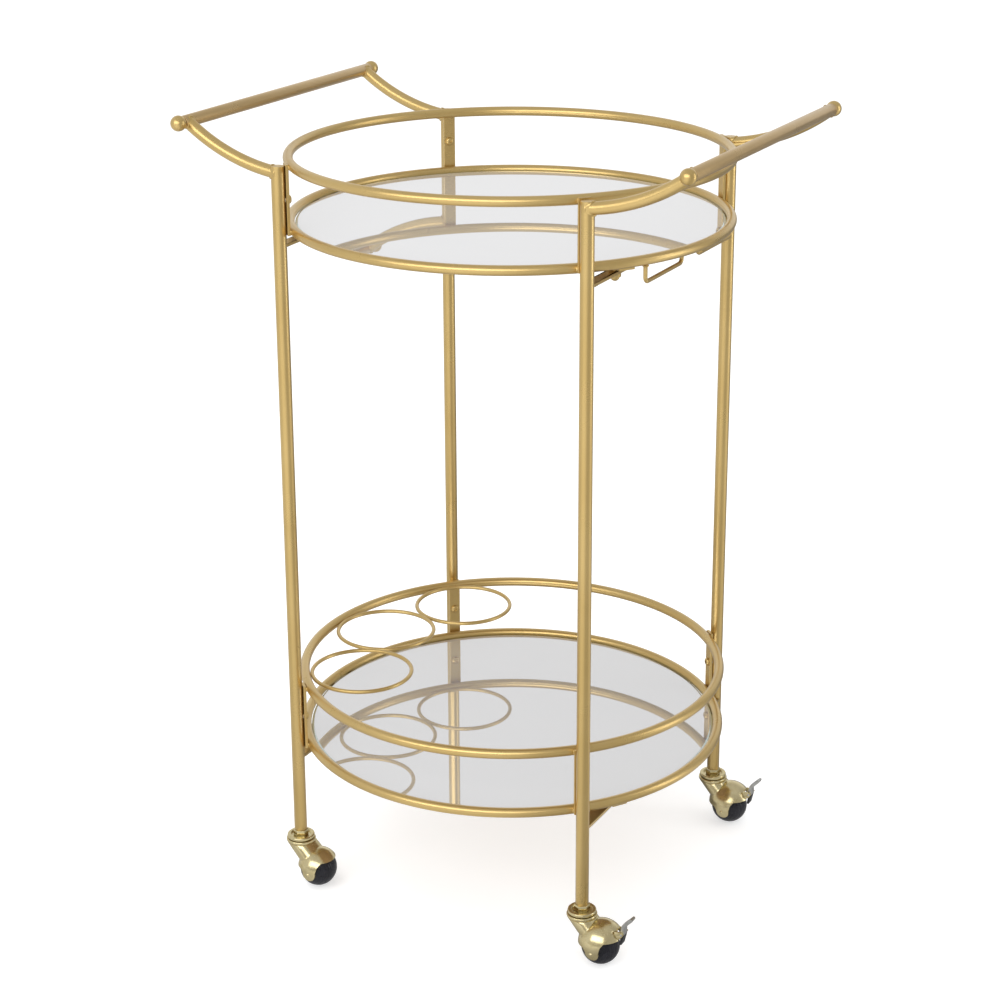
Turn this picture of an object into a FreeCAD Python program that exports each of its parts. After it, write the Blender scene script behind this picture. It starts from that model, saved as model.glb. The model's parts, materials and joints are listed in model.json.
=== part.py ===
"""Round two-tier bar cart on four hooded ball casters, modelled as it is built.

Two welded side frames (legs, crossbars, handle arms and a push handle) carry two
round trays. Each tray is a pair of rings with a mirror in the lower one. Lengths
are in millimetres. The origin is on the floor under the cart's centre, +X points
at the right-hand handle, +Y to the back and +Z up.
"""

import FreeCAD, Part
import math
import os

from FreeCAD import Vector

# Heights above the floor.
LOWER_BASE_Z = 151.0
LOWER_RAIL_Z = 212.0
TOP_BASE_Z = 675.5
TOP_RAIL_Z = 736.5
LEG_BOTTOM_Z = 57.0
LEG_TOP_Z = 738.0
HANDLE_Z = 771.0

# Tube, rod and strap sections.
LEG_R = 6.35
LEG_WALL = 1.2
LEG_CAP_THICK = 1.5
COPE_CLEAR = 20.0
RING_ROD_R = 4.75
HANDLE_R = 6.0
HANDLE_WALL = 1.2
WIRE_R = 2.0
STRAP_WIDTH = 12.0
STRAP_OVERLAP = 3.0
BAR_WIDTH = 12.0
BAR_THICK = 3.0
BAR_DROP = 14.0

# Plan layout.
RING_R = 210.0
LEG_X = 158.4
LEG_Y = 158.4
HANDLE_X = 257.5
HANDLE_OVERHANG = 8.0
HANDLE_END_BALL_R = 7.5
HANDLE_NECK_R = 4.4
HANDLE_BALL_SINK = 1.6
HANDLE_BALL_GAP = 0.6
HANDLE_SPIGOT_LEN = 10.0
ARM_START_DROP = 6.6
ARM_START_SLOPE_DEG = 6.0

# Shelf mirrors.
MIRROR_R = 204.9
MIRROR_THICK = 3.0
MIRROR_TOP_RISE = -0.5
BACKING_R = 203.0
SUPPORT_Y = 18.0
SUPPORT_WIDTH = 14.0
TAB_X = LEG_X
TAB_Y = 102.0
TAB_INNER_R = 176.0
TAB_OUTER_R = RING_R - 1.0
TAB_WIDTH = 16.0
TAB_THICK = 2.5

# Bottle rings on the lower tray.
BOTTLE_RING_R = 50.0
BOTTLE_RING_MID_DEG = 177.5

# Glass rails under the top tray.
RAIL_X = 186.0
RAIL_OUTER_Y = math.sqrt(RING_R ** 2 - RAIL_X ** 2)
RAIL_INNER_Y = SUPPORT_Y
RAIL_DROP = 20.5
RAIL_BEND_R = 5.0

# Fasteners.
TRAY_SCREW_R = 2.5
TRAY_SCREW_HEAD_R = 4.2
TRAY_SCREW_HEAD_H = 2.6
TRAY_SCREW_HEAD_EDGE = 1.2
TRAY_SCREW_SHANK = 10.0
SOCKET_R = 1.5
SOCKET_DEPTH = 1.4
RIVNUT_R = 3.6
RIVNUT_LEN = 6.5
RIVNUT_INSET = 0.6
STUD_R = 3.0
STUD_END = 4.0
CAP_NUT_R = 5.6
CAP_NUT_H = 7.5

# Ball caster, measured from its swivel axis with the ball trailing along +X.
TRAIL = 20.0
BALL_R = 18.5
AXLE_R = 2.0
RUN_CLEARANCE = 0.05
AXLE_HEAD_R = 3.4
AXLE_HEAD_H = 1.2
AXLE_HEAD_SEAT = 0.3
HOOD_WALL = 1.6
HOOD_GAP = 0.9
BRAKE_HOOD_LIFT = 3.5
BRAKE_HOOD_SHIFT = 1.0
BRAKE_HOOD_EXTRA = 1.5
SWIVEL_DISC_R = 14.75
SWIVEL_DISC_BOTTOM = 44.5
SWIVEL_DISC_TOP = 47.9
SWIVEL_DISC_EDGE = 1.2
CUP_R = 13.75
CUP_BOTTOM = 48.4
CUP_FLOOR_TOP = 50.0
CUP_LIP_TOP = 51.8
CUP_LIP_IN_R = 10.4
CUP_LIP_EDGE = 1.2
CUP_FOOT_EDGE = 0.8
CUP_DISH_RUN = 1.6
STEM_R = 4.0
STEM_TOP = 75.0
STEM_FLANGE_R = 7.2
STEM_FLANGE_H = 2.2
STEM_FLANGE_GAP = 0.2
NUT_FLATS = 13.0
INSERT_LEN = 22.0
HORN_END_Z = 26.0
HORN_END_X = 17.0
HORN_END_R = 15.5
HORN_STEP = 0.4

# Side outline of the hood's lower edge as (forward, up) from the ball's centre.
HOOD_REACH = 40.0
HOOD_FRONT_EDGE = [(11.5, 12.0), (8.8, 8.6)]
HOOD_TONGUE_FRONT = (7.3, 2.0)
HOOD_TONGUE_LOW = (0.5, -6.5)
HOOD_TONGUE_BACK = (-6.5, 1.0)
HOOD_REAR_EDGE = (-9.0, 4.0)

# Brake lever, in the caster's XZ plane from the ball's centre.
BRAKE_PIN_X = 23.8
BRAKE_PIN_Z = 19.0
BRAKE_PIN_R = 1.2
BRAKE_WIDTH = 8.0
BRAKE_EAR_THICK = 1.5
BRAKE_EAR_GAP = 0.4
BRAKE_PIN_END = 0.4
BRAKE_SLOT_SIDE = 0.8
BRAKE_SLOT_LOW = (9.0, 5.0)
BRAKE_SLOT_SIZE = (20.0, 14.0)
BRAKE_EAR = [(17.0, 16.0), (20.5, 13.0), (24.0, 16.0), (26.2, 19.4), (23.4, 21.4), (17.0, 21.0)]
BRAKE_LEVER = [(21.7, 7.0), (23.4, 7.4), (26.0, 18.5), (25.8, 26.0), (34.2, 34.8), (34.0, 36.6),
               (32.3, 36.9), (23.6, 28.0), (22.0, 20.5), (22.4, 16.0), (21.2, 8.0)]

UP = Vector(0, 0, 1)
BACK = Vector(0, 1, 0)
SIDES = (("left", -1), ("right", 1))
ENDS = (("front", -1), ("rear", 1))
CORNERS = [(f"{end}_{side}", sx, sy) for side, sx in SIDES for end, sy in ENDS]
TRAYS = (("top", TOP_BASE_Z, TOP_RAIL_Z), ("lower", LOWER_BASE_Z, LOWER_RAIL_Z))
BRAKED = ("front_right", "rear_right")


def export(name, shape):
    """Write one node's shape to its STEP file."""
    shape.exportStep(os.path.join("parts", name + ".step"))


def group(shapes):
    """Collect separate solids into one node."""
    return Part.makeCompound(list(shapes))


def rod(radius, start, end):
    """Round bar from one point to another."""
    run = end.sub(start)
    return Part.makeCylinder(radius, run.Length, start, run)


def tube(radius, wall, start, end):
    """Hollow round tube from one point to another."""
    return rod(radius, start, end).cut(rod(radius - wall, start, end))


def ring(major_r, minor_r, z, x=0.0, y=0.0):
    """Closed ring of round bar lying flat."""
    return Part.makeTorus(major_r, minor_r, Vector(x, y, z), UP)


def plate(length, width, thick, centre, angle_deg=0.0):
    """Flat bar centred on a point, its length turned about Z from +X."""
    shape = Part.makeBox(length, width, thick, Vector(-length / 2, -width / 2, -thick / 2))
    shape.rotate(Vector(0, 0, 0), UP, angle_deg)
    shape.translate(centre)
    return shape


def revolve(points):
    """Turn a closed outline of (radius, height) points about the Z axis."""
    outline = [Vector(r, 0, z) for r, z in points]
    outline.append(outline[0])
    return Part.Face(Part.makePolygon(outline)).revolve(Vector(0, 0, 0), UP, 360)


def hexagon(flats, z, height):
    """Hexagonal prism on the Z axis."""
    corner = flats / 2 / math.cos(math.radians(30))
    turns = [math.radians(60 * i) for i in range(7)]
    outline = [Vector(corner * math.cos(t), corner * math.sin(t), z) for t in turns]
    return Part.Face(Part.makePolygon(outline)).extrude(Vector(0, 0, height))


def leg_axis(sx, sy, z):
    """Point on a leg's centre line."""
    return Vector(sx * LEG_X, sy * LEG_Y, z)


def leg_outer(sx, sy):
    """Full outer cylinder of a leg, used to cope what is welded to it."""
    return rod(LEG_R, leg_axis(sx, sy, LEG_BOTTOM_Z), leg_axis(sx, sy, LEG_TOP_Z + COPE_CLEAR))


def radial(sx, sy):
    """Unit vector from the cart's axis out to a leg, and its angle in degrees."""
    out = Vector(sx * LEG_X, sy * LEG_Y, 0)
    out.normalize()
    return out, math.degrees(math.atan2(out.y, out.x))


def legs():
    """Four leg tubes, drilled for the tray screws, and their welded top caps."""
    for name, sx, sy in CORNERS:
        foot = leg_axis(sx, sy, LEG_BOTTOM_Z)
        leg = tube(LEG_R, LEG_WALL, foot, leg_axis(sx, sy, LEG_TOP_Z - LEG_CAP_THICK))
        for _, base_z, rail_z in TRAYS:
            leg = leg.cut(rivnut_bore(sx, sy, (base_z + rail_z) / 2))
        export("leg_" + name, leg)
    export("leg_caps", group(leg_cap(sx, sy) for _, sx, sy in CORNERS))


def leg_cap(sx, sy):
    """Flat cap welded on a leg's top end."""
    return rod(LEG_R, leg_axis(sx, sy, LEG_TOP_Z - LEG_CAP_THICK), leg_axis(sx, sy, LEG_TOP_Z))


def arm_path(sx, sy):
    """Arc of a handle arm, from the leg's axis out and up to the handle's axis."""
    start_z = LEG_TOP_Z - ARM_START_DROP
    run = HANDLE_X - LEG_X
    rise = HANDLE_Z - start_z
    chord = math.hypot(run, rise)
    half_turn = math.atan2(rise, run) - math.radians(ARM_START_SLOPE_DEG)
    sag = chord / 2 * math.tan(half_turn / 2)
    mid_x = run / 2 + sag * rise / chord
    mid_z = rise / 2 - sag * run / chord
    points = [(0, 0), (mid_x, mid_z), (run, rise)]
    line = [Vector(sx * (LEG_X + x), sy * LEG_Y, start_z + z) for x, z in points]
    return Part.Wire([Part.Arc(*line).toShape()])


def handle_arms():
    """Curved arms, coped to the leg below and the handle above."""
    for name, sx, sy in CORNERS:
        path = arm_path(sx, sy)
        edge = path.Edges[0]
        start = edge.valueAt(edge.FirstParameter)
        tangent = edge.tangentAt(edge.FirstParameter)
        profile = Part.Wire([Part.makeCircle(HANDLE_R, start, tangent)])
        arm = path.makePipeShell([profile], True, True)
        arm = arm.cut(leg_outer(sx, sy))
        export("handle_arm_" + name, arm.cut(handle_outer(sx)))


def handle_axis(sx, y):
    """Point on a handle's centre line."""
    return Vector(sx * HANDLE_X, y, HANDLE_Z)


def handle_outer(sx):
    """Full outer cylinder of a handle."""
    end = LEG_Y + HANDLE_OVERHANG
    return rod(HANDLE_R, handle_axis(sx, -end), handle_axis(sx, end))


def handles():
    """Handle tubes with a turned ball end in each open end."""
    end = LEG_Y + HANDLE_OVERHANG
    for side, sx in SIDES:
        bore = rod(HANDLE_R - HANDLE_WALL, handle_axis(sx, -end), handle_axis(sx, end))
        export("handle_bar_" + side, handle_outer(sx).cut(bore))
    export("handle_ball_ends", group(ball_end(sx, sy, end) for _, sx, sy in CORNERS))


def ball_end(sx, sy, end):
    """Ball with a short neck and a plug that fits in the handle tube."""
    centre = handle_axis(sx, sy * (end + HANDLE_END_BALL_R - HANDLE_BALL_SINK))
    ball = Part.makeSphere(HANDLE_END_BALL_R, centre)
    behind = handle_axis(sx, sy * (end - HANDLE_END_BALL_R))
    trim = rod(HANDLE_END_BALL_R, behind, handle_axis(sx, sy * (end + HANDLE_BALL_GAP)))
    neck = rod(HANDLE_NECK_R, handle_axis(sx, sy * end), centre)
    inside = handle_axis(sx, sy * (end - HANDLE_SPIGOT_LEN))
    spigot = rod(HANDLE_R - HANDLE_WALL, inside, handle_axis(sx, sy * end))
    return ball.cut(trim).fuse(neck).fuse(spigot).removeSplitter()


def crossbars():
    """Flat bars that tie each side's two legs together under the trays."""
    for side, sx in SIDES:
        for tray, base_z, _ in TRAYS:
            centre = Vector(sx * LEG_X, 0, base_z - BAR_DROP + BAR_THICK / 2)
            bar = plate(BAR_WIDTH, 2 * LEG_Y, BAR_THICK, centre)
            for _, sy in ENDS:
                bar = bar.cut(leg_outer(sx, sy))
                if tray == "top":
                    bar = bar.cut(stud_bore(sx, sy))
            export(f"crossbar_{tray}_{side}", bar)


def stud_bore(sx, sy):
    """Hole through a top crossbar for a tray stud."""
    foot = Vector(sx * TAB_X, sy * TAB_Y, TOP_BASE_Z - BAR_DROP)
    return rod(STUD_R, foot, foot + UP * BAR_DROP)


def trays():
    """Rings, straps, supports and the mirror of both trays."""
    for tray, base_z, rail_z in TRAYS:
        export(f"{tray}_tray_rail", ring(RING_R, RING_ROD_R, rail_z))
        export(f"{tray}_tray_base_ring", ring(RING_R, RING_ROD_R, base_z))
        export(f"{tray}_tray_straps", group(strap(sx, sy, base_z, rail_z) for _, sx, sy in CORNERS))
        export(f"{tray}_tray_tabs", group(mirror_tab(sx, sy, base_z) for _, sx, sy in CORNERS))
        export(f"{tray}_tray_supports", group(support_bar(sy, base_z) for _, sy in ENDS))
        mirror_top = base_z + MIRROR_TOP_RISE
        mirror_bottom = mirror_top - MIRROR_THICK
        backing_bottom = base_z - RING_ROD_R
        export(f"{tray}_mirror", rod(MIRROR_R, Vector(0, 0, mirror_bottom), Vector(0, 0, mirror_top)))
        export(f"{tray}_mirror_backing",
               rod(BACKING_R, Vector(0, 0, backing_bottom), Vector(0, 0, mirror_bottom)))


def strap(sx, sy, base_z, rail_z):
    """Upright flat bar welded outside both rings and bolted to the leg."""
    out, angle = radial(sx, sy)
    inner = RING_R + RING_ROD_R
    outer = math.hypot(LEG_X, LEG_Y) - LEG_R
    low = base_z - STRAP_OVERLAP
    high = rail_z + STRAP_OVERLAP
    centre = out * ((inner + outer) / 2)
    centre.z = (low + high) / 2
    bar = plate(outer - inner, STRAP_WIDTH, high - low, centre, angle)
    hole_z = (base_z + rail_z) / 2
    hole = rod(TRAY_SCREW_R, out * (inner - 1) + UP * hole_z, out * (outer + 1) + UP * hole_z)
    return bar.cut(hole)


def mirror_tab(sx, sy, base_z):
    """Flat tab welded under the base ring that reaches in under the mirror."""
    angle = math.degrees(math.atan2(sy * TAB_Y, sx * TAB_X))
    length = TAB_OUTER_R - TAB_INNER_R
    mid = (TAB_OUTER_R + TAB_INNER_R) / 2
    turn = math.radians(angle)
    centre = Vector(mid * math.cos(turn), mid * math.sin(turn), base_z - RING_ROD_R - TAB_THICK / 2)
    return plate(length, TAB_WIDTH, TAB_THICK, centre, angle)


def support_bar(sy, base_z):
    """Flat bar across the tray under the middle of the mirror."""
    length = 2 * math.sqrt(RING_R ** 2 - (SUPPORT_Y + SUPPORT_WIDTH / 2) ** 2)
    centre = Vector(0, sy * SUPPORT_Y, base_z - RING_ROD_R - TAB_THICK / 2)
    return plate(length, SUPPORT_WIDTH, TAB_THICK, centre)


def bottle_rings():
    """Three wire rings welded to the lower rail and to each other."""
    reach = RING_R - RING_ROD_R - BOTTLE_RING_R - WIRE_R
    step = 2 * math.degrees(math.asin((BOTTLE_RING_R + WIRE_R) / reach))
    for i, place in enumerate(("front", "middle", "rear")):
        turn = math.radians(BOTTLE_RING_MID_DEG + (1 - i) * step)
        x = reach * math.cos(turn)
        y = reach * math.sin(turn)
        export("bottle_ring_" + place, ring(BOTTLE_RING_R, WIRE_R, LOWER_RAIL_Z, x, y))


def glass_rails():
    """Bent wires that hang under the top tray on the right side."""
    top = TOP_BASE_Z - RING_ROD_R
    for end, sy in ENDS:
        inner_top = top - TAB_THICK
        low = TOP_BASE_Z - RAIL_DROP
        corners = [Vector(RAIL_X, sy * RAIL_OUTER_Y, top), Vector(RAIL_X, sy * RAIL_OUTER_Y, low),
                   Vector(RAIL_X, sy * RAIL_INNER_Y, low), Vector(RAIL_X, sy * RAIL_INNER_Y, inner_top)]
        path = bent_wire(corners, RAIL_BEND_R)
        profile = Part.Wire([Part.makeCircle(WIRE_R, corners[0], UP)])
        export("glass_rail_" + end, path.makePipeShell([profile], True, True))


def bent_wire(corners, bend_r):
    """Wire of straight runs joined by tangent quarter bends."""
    edges = []
    here = corners[0]
    for i in range(1, len(corners) - 1):
        come = corners[i].sub(corners[i - 1]).normalize()
        leave = corners[i + 1].sub(corners[i]).normalize()
        arc_start = corners[i].sub(come * bend_r)
        arc_end = corners[i].add(leave * bend_r)
        centre = corners[i].sub(come * bend_r).add(leave * bend_r)
        mid = centre.add(corners[i].sub(centre).normalize() * bend_r)
        edges.append(Part.LineSegment(here, arc_start).toShape())
        edges.append(Part.Arc(arc_start, mid, arc_end).toShape())
        here = arc_end
    edges.append(Part.LineSegment(here, corners[-1]).toShape())
    return Part.Wire(edges)


def tray_fixings():
    """Studs, spacers and cap nuts that clamp the top tray to its crossbars."""
    places = [Vector(sx * TAB_X, sy * TAB_Y, 0) for _, sx, sy in CORNERS]
    tab_low = TOP_BASE_Z - RING_ROD_R - TAB_THICK
    bar_low = TOP_BASE_Z - BAR_DROP
    bar_high = bar_low + BAR_THICK
    stud = rod(STUD_R, UP * (bar_low - STUD_END), UP * tab_low)
    export("tray_studs", group(stud.translated(p) for p in places))
    spacer = tube(2 * STUD_R, STUD_R, UP * bar_high, UP * tab_low)
    export("tray_spacers", group(spacer.translated(p) for p in places))
    nut = cap_nut(bar_low)
    export("tray_cap_nuts", group(nut.translated(p) for p in places))


def cap_nut(top_z):
    """Round domed nut on the Z axis, its seat up."""
    body = Part.makeSphere(CAP_NUT_R, Vector(0, 0, top_z - CAP_NUT_H + CAP_NUT_R))
    keep = rod(CAP_NUT_R, UP * (top_z - CAP_NUT_H), UP * top_z)
    skirt = rod(CAP_NUT_R, UP * (top_z - CAP_NUT_H + CAP_NUT_R), UP * top_z)
    nut = body.common(keep).fuse(skirt).removeSplitter()
    return nut.cut(rod(STUD_R, UP * (top_z - STUD_END), UP * top_z))


def rivnut_bore(sx, sy, z):
    """Hole through the leg's inner wall for a threaded rivet nut."""
    out, _ = radial(sx, sy)
    reach = math.hypot(LEG_X, LEG_Y)
    return rod(RIVNUT_R, out * (reach - LEG_R - 1) + UP * z, out * reach + UP * z)


def rivnut(sx, sy, z):
    """Threaded rivet nut set in a leg's inner wall."""
    out, _ = radial(sx, sy)
    face = math.hypot(LEG_X, LEG_Y) - LEG_R + RIVNUT_INSET
    start = out * face + UP * z
    end = out * (face + RIVNUT_LEN) + UP * z
    return rod(RIVNUT_R, start, end).cut(rod(TRAY_SCREW_R, start, end))


def tray_screw(sx, sy, z):
    """Button-head socket screw through a strap into its leg."""
    out, _ = radial(sx, sy)
    face = RING_R + RING_ROD_R
    seat = out * face + UP * z
    head = rod(TRAY_SCREW_HEAD_R, seat, out * (face - TRAY_SCREW_HEAD_H) + UP * z)
    head_edge = max(head.Edges, key=lambda e: (seat - e.CenterOfMass).Length if e.Closed else 0)
    head = head.makeFillet(TRAY_SCREW_HEAD_EDGE, [head_edge])
    crown = out * (face - TRAY_SCREW_HEAD_H) + UP * z
    socket = rod(SOCKET_R, crown, crown + out * SOCKET_DEPTH)
    shank = rod(TRAY_SCREW_R, seat, seat + out * TRAY_SCREW_SHANK)
    return head.cut(socket).fuse(shank).removeSplitter()


def tray_screws():
    """The eight screws and rivet nuts that hold the trays in the side frames."""
    heights = [(base_z + rail_z) / 2 for _, base_z, rail_z in TRAYS]
    places = [(sx, sy, z) for _, sx, sy in CORNERS for z in heights]
    export("tray_screws", group(tray_screw(*p) for p in places))
    export("rivet_nuts", group(rivnut(*p) for p in places))


def caster_place(sx, sy):
    """Foot of a caster's swivel axis on the floor."""
    return Vector(sx * LEG_X, sy * LEG_Y, 0)


def caster_mounts():
    """What stays with the leg: insert, threaded stem, hexagon nut and bearing cup."""
    places = [caster_place(sx, sy) for _, sx, sy in CORNERS]
    insert = tube(LEG_R - LEG_WALL, LEG_R - LEG_WALL - STEM_R, UP * LEG_BOTTOM_Z,
                  UP * (LEG_BOTTOM_Z + INSERT_LEN))
    flange_top = SWIVEL_DISC_BOTTOM - STEM_FLANGE_GAP
    stem = rod(STEM_R, UP * (flange_top - STEM_FLANGE_H), UP * STEM_TOP)
    flange = rod(STEM_FLANGE_R, UP * (flange_top - STEM_FLANGE_H), UP * flange_top)
    nut = hexagon(NUT_FLATS, CUP_FLOOR_TOP, LEG_BOTTOM_Z - CUP_FLOOR_TOP)
    nut = nut.cut(rod(STEM_R, UP * CUP_FLOOR_TOP, UP * LEG_BOTTOM_Z))
    cup = revolve([(STEM_R, CUP_BOTTOM), (CUP_R - CUP_FOOT_EDGE, CUP_BOTTOM),
                   (CUP_R, CUP_BOTTOM + CUP_FOOT_EDGE), (CUP_R, CUP_LIP_TOP - CUP_LIP_EDGE),
                   (CUP_R - CUP_LIP_EDGE, CUP_LIP_TOP), (CUP_LIP_IN_R, CUP_LIP_TOP),
                   (CUP_LIP_IN_R - CUP_DISH_RUN, CUP_FLOOR_TOP), (STEM_R, CUP_FLOOR_TOP)])
    parts = {"leg_thread_inserts": insert, "caster_stems": stem.fuse(flange).removeSplitter(),
             "caster_nuts": nut, "caster_cups": cup}
    for name, shape in parts.items():
        export(name, group(shape.translated(p) for p in places))


def ball_centre():
    """Centre of the ball, from the caster's swivel axis on the floor."""
    return Vector(TRAIL, 0, BALL_R)


def hood_sphere(braked, inside):
    """Outer or inner sphere of the hood; a braked hood is taller and further out."""
    radius = BALL_R + HOOD_GAP
    centre = ball_centre()
    if braked:
        radius += BRAKE_HOOD_EXTRA
        centre = centre + Vector(BRAKE_HOOD_SHIFT, 0, BRAKE_HOOD_LIFT)
    if not inside:
        radius += HOOD_WALL
    return Part.makeSphere(radius, centre)


def horn(inset):
    """Tapering neck from the swivel disc down to the back of the ball."""
    low = Part.Wire([Part.makeCircle(HORN_END_R - inset, Vector(HORN_END_X, 0, HORN_END_Z), UP)])
    top_r = SWIVEL_DISC_R - HORN_STEP - inset
    high = Part.Wire([Part.makeCircle(top_r, Vector(0, 0, SWIVEL_DISC_BOTTOM), UP)])
    return Part.makeLoft([low, high], True)


def side_point(place):
    """Point on the hood's side outline, kept clear of the ball."""
    return Vector(TRAIL + place[0], -HOOD_REACH, BALL_R + place[1])


def hood_cover():
    """Region that the hood's sheet covers: a cap with a tongue down each side."""
    front = (HOOD_REACH, HOOD_FRONT_EDGE[0][1])
    front_top = (HOOD_REACH, HOOD_REACH)
    back_top = (-HOOD_REACH, HOOD_REACH)
    back = (-HOOD_REACH, HOOD_REAR_EDGE[1])
    first = [front_top, front] + HOOD_FRONT_EDGE + [HOOD_TONGUE_FRONT]
    last = [HOOD_TONGUE_BACK, HOOD_REAR_EDGE, back, back_top, front_top]
    tip = Part.Arc(*[side_point(p) for p in (HOOD_TONGUE_FRONT, HOOD_TONGUE_LOW, HOOD_TONGUE_BACK)])
    before = Part.makePolygon([side_point(p) for p in first]).Edges
    after = Part.makePolygon([side_point(p) for p in last]).Edges
    outline = Part.Wire(before + [tip.toShape()] + after)
    return Part.Face(outline).extrude(BACK * (2 * HOOD_REACH))


def hood(braked):
    """Pressed hood: swivel disc, neck and the shell over the ball."""
    disc = rod(SWIVEL_DISC_R, UP * SWIVEL_DISC_BOTTOM, UP * SWIVEL_DISC_TOP)
    disc = disc.makeFillet(SWIVEL_DISC_EDGE, [e for e in disc.Edges if e.Closed])
    shell = disc.fuse(horn(0.0)).fuse(hood_sphere(braked, False))
    shell = shell.cut(horn(HOOD_WALL).fuse(hood_sphere(braked, True)))
    shell = shell.common(hood_cover())
    shell = shell.cut(rod(STEM_R + RUN_CLEARANCE, UP * SWIVEL_DISC_BOTTOM, UP * SWIVEL_DISC_TOP))
    shell = shell.cut(axle_pin())
    if braked:
        shell = shell.cut(brake_slot())
        for sy in (-1, 1):
            shell = shell.fuse(brake_ear(sy))
        shell = shell.cut(brake_pin())
    return shell.removeSplitter()


def axle_pin():
    """Straight part of the axle, from one hood tongue to the other."""
    half = BALL_R + HOOD_GAP + BRAKE_HOOD_EXTRA + HOOD_WALL
    return rod(AXLE_R, ball_centre() - BACK * half, ball_centre() + BACK * half)


def axle(braked):
    """Axle pin with a rivet head outside each tongue."""
    wall = BALL_R + HOOD_GAP + HOOD_WALL
    if braked:
        outer = wall + BRAKE_HOOD_EXTRA
        rise = BRAKE_HOOD_LIFT
        wall = math.sqrt(outer ** 2 - rise ** 2 - BRAKE_HOOD_SHIFT ** 2)
    centre = ball_centre()
    pin = rod(AXLE_R, centre - BACK * wall, centre + BACK * wall)
    for sy in (-1, 1):
        head = rod(AXLE_HEAD_R, centre + BACK * (sy * (wall - AXLE_HEAD_SEAT)),
                   centre + BACK * (sy * (wall + AXLE_HEAD_H)))
        pin = pin.fuse(head.cut(hood_sphere(braked, False)))
    return pin.removeSplitter()


def ball_wheel():
    """Moulded ball with a running bore for its axle."""
    bore = rod(AXLE_R + RUN_CLEARANCE, ball_centre() - BACK * BALL_R, ball_centre() + BACK * BALL_R)
    return Part.makeSphere(BALL_R, ball_centre()).cut(bore)


def brake_point(x, z, y=0.0):
    """Point of the brake, from the ball's centre."""
    return ball_centre() + Vector(x, y, z)


def brake_slot():
    """Notch in the front of the hood that the brake shoe swings through."""
    half = BRAKE_WIDTH / 2 + BRAKE_SLOT_SIDE
    length, height = BRAKE_SLOT_SIZE
    return Part.makeBox(length, 2 * half, height, brake_point(*BRAKE_SLOT_LOW, -half))


def brake_profile(outline, y, width):
    """Plate of the brake, its outline in the caster's XZ plane."""
    points = [brake_point(x, z, y) for x, z in outline + outline[:1]]
    return Part.Face(Part.makePolygon(points)).extrude(BACK * width)


def brake_ear(sy):
    """Small ear beside the slot that holds one end of the brake's pin."""
    inner = BRAKE_WIDTH / 2 + BRAKE_EAR_GAP
    near = inner if sy > 0 else -inner - BRAKE_EAR_THICK
    return brake_profile(BRAKE_EAR, near, BRAKE_EAR_THICK).cut(hood_sphere(True, True))


def brake_rod(radius, half):
    """Round bar on the brake's axis."""
    start = brake_point(BRAKE_PIN_X, BRAKE_PIN_Z, -half)
    return rod(radius, start, start + BACK * (2 * half))


def brake_pin():
    """Pin that the brake lever turns on."""
    return brake_rod(BRAKE_PIN_R, BRAKE_WIDTH / 2 + BRAKE_EAR_GAP + BRAKE_EAR_THICK + BRAKE_PIN_END)


def brake_lever():
    """Cranked plate: a foot tab above the pin and a shoe below it."""
    lever = brake_profile(BRAKE_LEVER, -BRAKE_WIDTH / 2, BRAKE_WIDTH)
    return lever.cut(brake_rod(BRAKE_PIN_R + RUN_CLEARANCE, BRAKE_WIDTH / 2))


def casters():
    """Hood, ball, axle and, on the right, the brake of each caster."""
    for name, sx, sy in CORNERS:
        place = caster_place(sx, sy)
        braked = name in BRAKED
        export("caster_hood_" + name, hood(braked).translated(place))
        export("caster_ball_" + name, ball_wheel().translated(place))
        export("caster_axle_" + name, axle(braked).translated(place))
        if braked:
            export("brake_lever_" + name, brake_lever().translated(place))
            export("brake_pin_" + name, brake_pin().translated(place))


os.makedirs("parts", exist_ok=True)
legs()
handle_arms()
handles()
crossbars()
trays()
bottle_rings()
glass_rails()
tray_fixings()
tray_screws()
caster_mounts()
casters()
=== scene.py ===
"""Looks of a round two-tier bar cart on four hooded ball casters.

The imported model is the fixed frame. Its tubes, rings, mirrors, fasteners and casters
get finely turned, bent and bevelled pieces in the same places, weld beads where the
real cart is welded, and a procedural finish each. Lengths are in metres.
"""

import json
import logging
import math
from dataclasses import dataclass
from enum import Enum

import bmesh
import bpy
from bmesh.types import BMEdge, BMVert, BMesh
from bpy.types import Material, Node, NodeSocket, NodeTree, Object
from mathutils import Matrix, Vector, noise


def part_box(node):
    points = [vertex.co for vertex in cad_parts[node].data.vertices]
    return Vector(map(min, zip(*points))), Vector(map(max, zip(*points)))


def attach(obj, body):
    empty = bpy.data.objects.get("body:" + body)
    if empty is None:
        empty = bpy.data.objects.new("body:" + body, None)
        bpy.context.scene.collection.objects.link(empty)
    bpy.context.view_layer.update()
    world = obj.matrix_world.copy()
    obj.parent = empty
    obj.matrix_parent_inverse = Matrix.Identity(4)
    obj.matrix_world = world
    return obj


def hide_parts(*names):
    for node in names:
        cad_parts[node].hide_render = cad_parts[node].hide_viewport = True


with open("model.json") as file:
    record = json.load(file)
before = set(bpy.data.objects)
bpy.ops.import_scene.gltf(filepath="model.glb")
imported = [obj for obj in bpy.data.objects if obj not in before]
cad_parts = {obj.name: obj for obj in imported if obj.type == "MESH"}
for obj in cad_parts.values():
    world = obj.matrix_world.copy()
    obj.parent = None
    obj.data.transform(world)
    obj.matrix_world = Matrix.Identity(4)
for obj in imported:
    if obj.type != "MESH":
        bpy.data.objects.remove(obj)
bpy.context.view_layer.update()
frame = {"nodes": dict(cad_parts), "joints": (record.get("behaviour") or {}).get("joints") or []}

Triple = tuple[float, float, float]
Colour = tuple[float, float, float, float]

LOG = logging.getLogger("bar_cart")

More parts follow.
